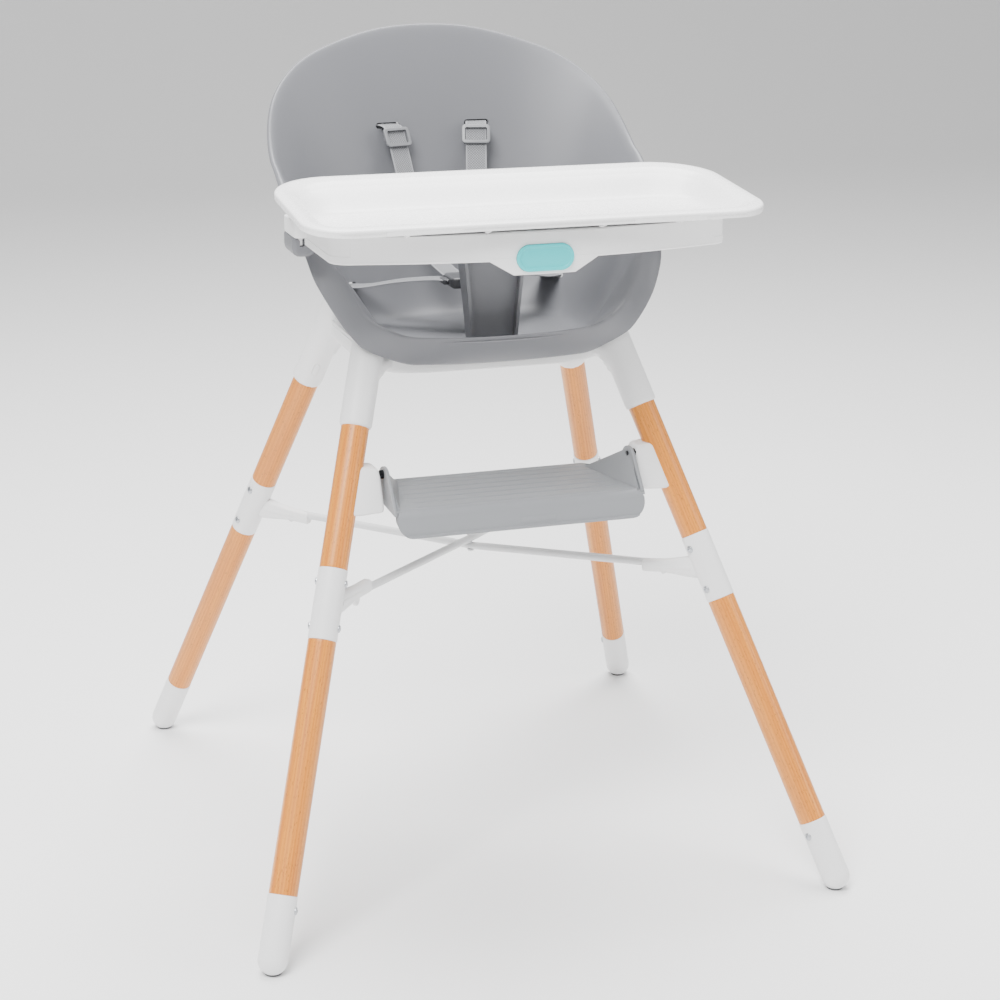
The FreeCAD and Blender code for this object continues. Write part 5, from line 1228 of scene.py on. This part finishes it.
footrest_grey = moulded("footrest_polypropylene", "#86888b", 0.42, 0.7, 0.03, 0.03)
black_steel = plated_steel("black_oxide_steel", "#26272a", 0.42)
foot_mesh = solid_mesh("footrest", *joined([footrest_surface()] + footrest_ends() + [blank_plate()]),
                       sharp=36.0)
add_piece("moulded_footrest", foot_mesh, footrest_grey, "footrest", ["footrest"])
for label, side in (("left", 1), ("right", -1)):
    block = solid_mesh("bracket_" + label, *bracket_surface(side))
    add_piece("moulded_bracket_" + label, block, white_nylon, "frame",
              ["footrest_bracket_" + label])


# ---- crotch post ----------------------------------------------------------------------------
# Grey moulded post with an H section that widens upwards, standing on the seat's pan.
POST_Y, POST_FOOT_HALF, POST_TOP_HALF, POST_TOP = -85.0, 27.0, 39.0, 721.0


def post_panel(across, deep_low, deep_high, middle):
    """Panel between the post's foot and top, given in shares of the half width across and as
    depths along Y at the foot and at the top; its edges are rounded, and its height is eased so
    that the flanks bow a little."""
    outline = round_corners([(across[0], 0), (across[1], 0), (across[1], 1), (across[0], 1)], 0.25, 4)
    rows = []
    for t in np.linspace(0, 1, 16):
        half = POST_FOOT_HALF + (POST_TOP_HALF - POST_FOOT_HALF) * (0.7 * t + 0.3 * t * t)
        deep = deep_low + (deep_high - deep_low) * t
        x = outline[:, 0]
        x = np.sign(middle) * (half + x) if middle else x * half / POST_FOOT_HALF
        y = POST_Y + (outline[:, 1] - 0.5) * deep + (1.0 if deep > 10 else 0.0)
        rows.append(np.stack([x, y, np.full(len(x), PAN_Z + 0.3 + (POST_TOP - PAN_Z - 0.3) * t)], 1))
    return capped(rows)


post = [post_panel((-POST_FOOT_HALF + 1, POST_FOOT_HALF - 1), 4, 4, 0)]
post += [post_panel((-4, 0), 22, 30, side) for side in (1, -1)]
add_piece("moulded_crotch_post", solid_mesh("post", *joined(post)), grey_polypropylene, "frame",
          ["crotch_post"])


# ---- harness --------------------------------------------------------------------------------
# Five straps of grey woven webbing, 25 mm wide, run out of slots in the shell to a buckle on the
# crotch strap. The shoulder straps pass through ladder-lock sliders.
STRAP_WIDTH, STRAP_THICKNESS = 25.0, 1.5
STRAP_END_X, STRAP_START_Y, STRAP_END_Y = 16.0, 168.0, 17.0
SLIDER_X, SLIDER_Y, SLIDER_Z = 49.3, 134.0, 802.0
SHOULDER_PATH = ((0, 815), (0.12, 815.5), (0.2, 810), (0.3, 778), (0.4, 744), (0.52, 712), (0.66, 686),
                 (0.82, 668), (1, 658))


def smooth_path(points, spacing=2.5):
    """Catmull-Rom curve through points, as places about one spacing apart."""
    points = np.asarray(points, float)
    ends = np.concatenate([[2 * points[0] - points[1]], points, [2 * points[-1] - points[-2]]])
    path = []
    for p0, p1, p2, p3 in zip(ends, ends[1:], ends[2:], ends[3:]):
        steps = max(int(np.linalg.norm(p2 - p1) / spacing), 2)
        t = np.linspace(0, 1, steps, endpoint=False)[:, None]
        path.append(0.5 * (2 * p1 + (p2 - p0) * t + (2 * p0 - 5 * p1 + 4 * p2 - p3) * t ** 2
                           + (3 * p1 - p0 - 3 * p2 + p3) * t ** 3))
    return np.concatenate(path + [points[-1:]])


def strap(path):
    """Webbing along a path in one upright plane. Its third coordinate set, kept for the weave,
    holds millimetres across, along and through the strap."""
    run = path[-1] - path[0]
    across = unit(np.array([-run[1], run[0], 0.0]))
    ahead = unit(np.gradient(path, axis=0))
    normal = np.cross(across, ahead)
    section = stadium(STRAP_WIDTH, STRAP_THICKNESS, 5)
    edge = np.linspace(-0.45, 0.45, 11)[1:-1, None] * [STRAP_WIDTH, 0]
    section = np.concatenate([section[:5], edge[::-1] + [0, STRAP_THICKNESS / 2], section[5:],
                              edge - [0, STRAP_THICKNESS / 2]])
    rows = path[:, None] + section[:, :1] * across + section[:, 1:] * normal[:, None]
    length = np.concatenate([[0], np.cumsum(np.linalg.norm(np.diff(path, axis=0), axis=1))])
    weave = np.stack([np.tile(section[:, 0], len(path)), np.repeat(length, len(section)),
                      np.tile(section[:, 1], len(path))], 1)
    return *capped(rows), weave


def add_strap(name, paths):
    """One piece of webbing, or a pair, with its weave coordinates."""
    made = [strap(path) for path in paths]
    points, faces = joined([(p, f) for p, f, w in made])
    mesh = solid_mesh(name, points, faces, {"weave": np.concatenate([w for p, f, w in made])}, sharp=60.0)
    add_piece("woven_" + name, mesh, webbing_cloth, "frame", [name])


def woven_webbing():
    """Polyester webbing: weft bars about 1.6 mm apart in staggered columns, and two tight
    selvedges; every bar is a round bump, and painted shade darkens the hollows between."""
    material, out = new_material("polyester_webbing")
    weave = put(material, "Attribute", attribute_name="weave").outputs["Vector"]
    parts = put(material, "SeparateXYZ", {0: weave})
    column = put(material, "Math", {0: parts.outputs["X"], 1: 2 * math.pi / 3.1},
                 operation="MULTIPLY").outputs[0]
    column = put(material, "Math", {0: column}, operation="COSINE").outputs[0]
    shift = put(material, "Math", {0: column}, operation="SIGN").outputs[0]
    row = put(material, "Math", {0: parts.outputs["Y"], 1: 2 * math.pi / 3.2},
              operation="MULTIPLY").outputs[0]
    row = put(material, "Math", {0: shift, 1: math.pi / 2, 2: row}, operation="MULTIPLY_ADD").outputs[0]
    bars = put(material, "Math", {0: row}, operation="SINE").outputs[0]
    bars = put(material, "MapRange", {"Value": bars, "From Min": -1.0}).outputs[0]
    ridge = put(material, "Math", {0: column}, operation="ABSOLUTE").outputs[0]
    ridge = put(material, "MapRange", {"Value": ridge, "To Min": 0.35}).outputs[0]
    height = put(material, "Math", {0: bars, 1: ridge}, operation="MULTIPLY").outputs[0]
    side = put(material, "Math", {0: parts.outputs["X"]}, operation="ABSOLUTE").outputs[0]
    selvedge = put(material, "MapRange", {"Value": side, "From Min": 10.4, "From Max": 10.9}).outputs[0]
    height = put(material, "Mix", {0: selvedge, 2: height, 3: 0.8}, data_type="FLOAT").outputs[0]
    fuzz = put(material, "TexNoise", {"Vector": weave, "Scale": 2.2, "Detail": 3.0}).outputs[0]
    # Colour: the noise is the yarn's own uneven tone, and the bump height adds painted shade, drawing the low parts of
    # the weave darker.
    tone = put(material, "Math", {0: fuzz, 1: 0.35, 2: height}, operation="MULTIPLY_ADD").outputs[0]
    tone = put(material, "MapRange", {"Value": tone, "From Min": 0.1, "From Max": 1.1}).outputs[0]
    cloth = put(material, "Mix", {0: tone, 6: linear("#5a5b5e"), 7: linear("#8f9093")},
                data_type="RGBA").outputs[2]
    relief = put(material, "Bump", {"Height": height, "Strength": 0.7, "Distance": 0.0004}).outputs[0]
    yarn = put(material, "BsdfPrincipled", {"Base Color": cloth, "Roughness": 0.8, "Normal": relief,
                                            "Sheen Weight": 0.15, "Sheen Roughness": 0.5})
    material.node_tree.links.new(yarn.outputs[0], out.inputs[0])
    return material


def slider_surface():
    """Ladder-lock slider, lying flat: a rounded ring in front of the strap, and a bar behind it
    that joins the ring's sides past the strap's edges."""
    ring = slab(round_corners([(-17, -12), (17, -12), (17, 12), (-17, 12)], 5, 5), 1.0, 4.8, 1.2, 4)
    window = slab(round_corners([(-13.2, -8), (13.2, -8), (13.2, 8), (-13.2, 8)], 2.0, 4), -1, 9)
    mesh = carved(solid_mesh("ring", *ring), [window], 40.0)
    bar = [slab([(-15, -2), (15, -2), (15, 2), (-15, 2)], -3.2, -1.2, 0.6)]
    for side in (1, -1):
        post = slab([(13.4, -2), (16, -2), (16, 2), (13.4, 2)], -2.6, 2.4, 0.4)
        bar.append((post[0] * [side, 1, 1], post[1]))
    return mesh, solid_mesh("bar", *joined(bar))


def placed_mesh(mesh, place):
    """Moves a finished mesh, which is in metres, to a place given in millimetres."""
    count = len(mesh.vertices)
    points = np.empty(count * 3)
    mesh.vertices.foreach_get("co", points)
    points = moved(place, points.reshape(-1, 3) * 1000) * 0.001
    mesh.vertices.foreach_set("co", points.ravel())
    mesh.update()
    return mesh


webbing_cloth = woven_webbing()
for label, side in (("left", 1), ("right", -1)):
    path = [(side * (STRAP_X + (STRAP_END_X - STRAP_X) * u),
             STRAP_START_Y + (STRAP_END_Y - STRAP_START_Y) * u, z) for u, z in SHOULDER_PATH]
    add_strap("shoulder_strap_" + label, [smooth_path(path)])
waist = [(128 + (22 - 128) * u, 76 * (1 - u), z) for u, z in ((0, 640), (0.2, 642), (0.5, 650), (0.8,
        655), (1, 656))]
add_strap("waist_straps", [smooth_path(np.array(waist) * [side, 1, 1]) for side in (1, -1)])
add_strap("crotch_strap", [smooth_path([(0, -30 + 18 * u, z) for u, z in ((0, 589), (0.3, 612), (0.7,
        634), (1, 651))])])

slider_grey = moulded("slider_acetal", "#77787b", 0.34, 0.6, 0.01, 0.02)
for label, side in (("left", 1), ("right", -1)):
    run = np.array([(STRAP_END_X - STRAP_X) * side, STRAP_END_Y - STRAP_START_Y, -300.0])
    across = unit(np.array([-run[1], run[0], 0.0]))
    place = upright_frame((side * SLIDER_X, SLIDER_Y, SLIDER_Z), -np.cross(across, unit(run)), (0, 0, 1))
    ring, bar = slider_surface()
    add_piece("slider_" + label, placed_mesh(ring, place), slider_grey, "frame",
              ["strap_sliders"])
    add_piece("slider_bar_" + label, placed_mesh(bar, place), slider_grey, "frame")

buckle_grey = moulded("buckle_acetal", "#4a4b4e", 0.36, 0.6, 0.012, 0.02)
case = slab(round_corners([(-27, -21), (27, -21), (27, 20), (-27, 20)], 8, 7), 648, 660.4, 3.2, 5)
button = slab(round_corners([(-10, -19.5), (10, -19.5), (12, -2), (-12, -2)], 4, 6), 659, 661.4, 0.9)
prongs = []
for side in (1, -1):
    points, faces = slab(round_corners([(20, -8), (34, -10), (34, 10), (20, 8)], 3, 5), 651.5, 657.5, 1.4)
    prongs.append((points * [side, 1, 1], faces))
add_piece("buckle_case", solid_mesh("buckle", *joined([case] + prongs)), buckle_grey, "frame",
          ["lap_buckle"])
add_piece("buckle_button", solid_mesh("buckle_button", *button), slider_grey, "frame")


# ---- pieces that keep the CAD's own shape ---------------------------------------------------
# Screws, pins, latches, the tray's closing plate and the bars that anchor the straps lie inside or
# behind the others; each gets the material it is made of.
for names, kind in ((("hub_screws", "bracket_screws", "tray_screws"), zinc_steel),
                    (("footrest_pins",), black_steel),
                    (("latch_left", "latch_right"), white_nylon), (("tray_bottom_plate",), white_plastic),
                    (("strap_anchors",), buckle_grey)):
    for name in names:
        kept = frame["nodes"][name].data
        kept.materials.clear()
        kept.materials.append(kind)
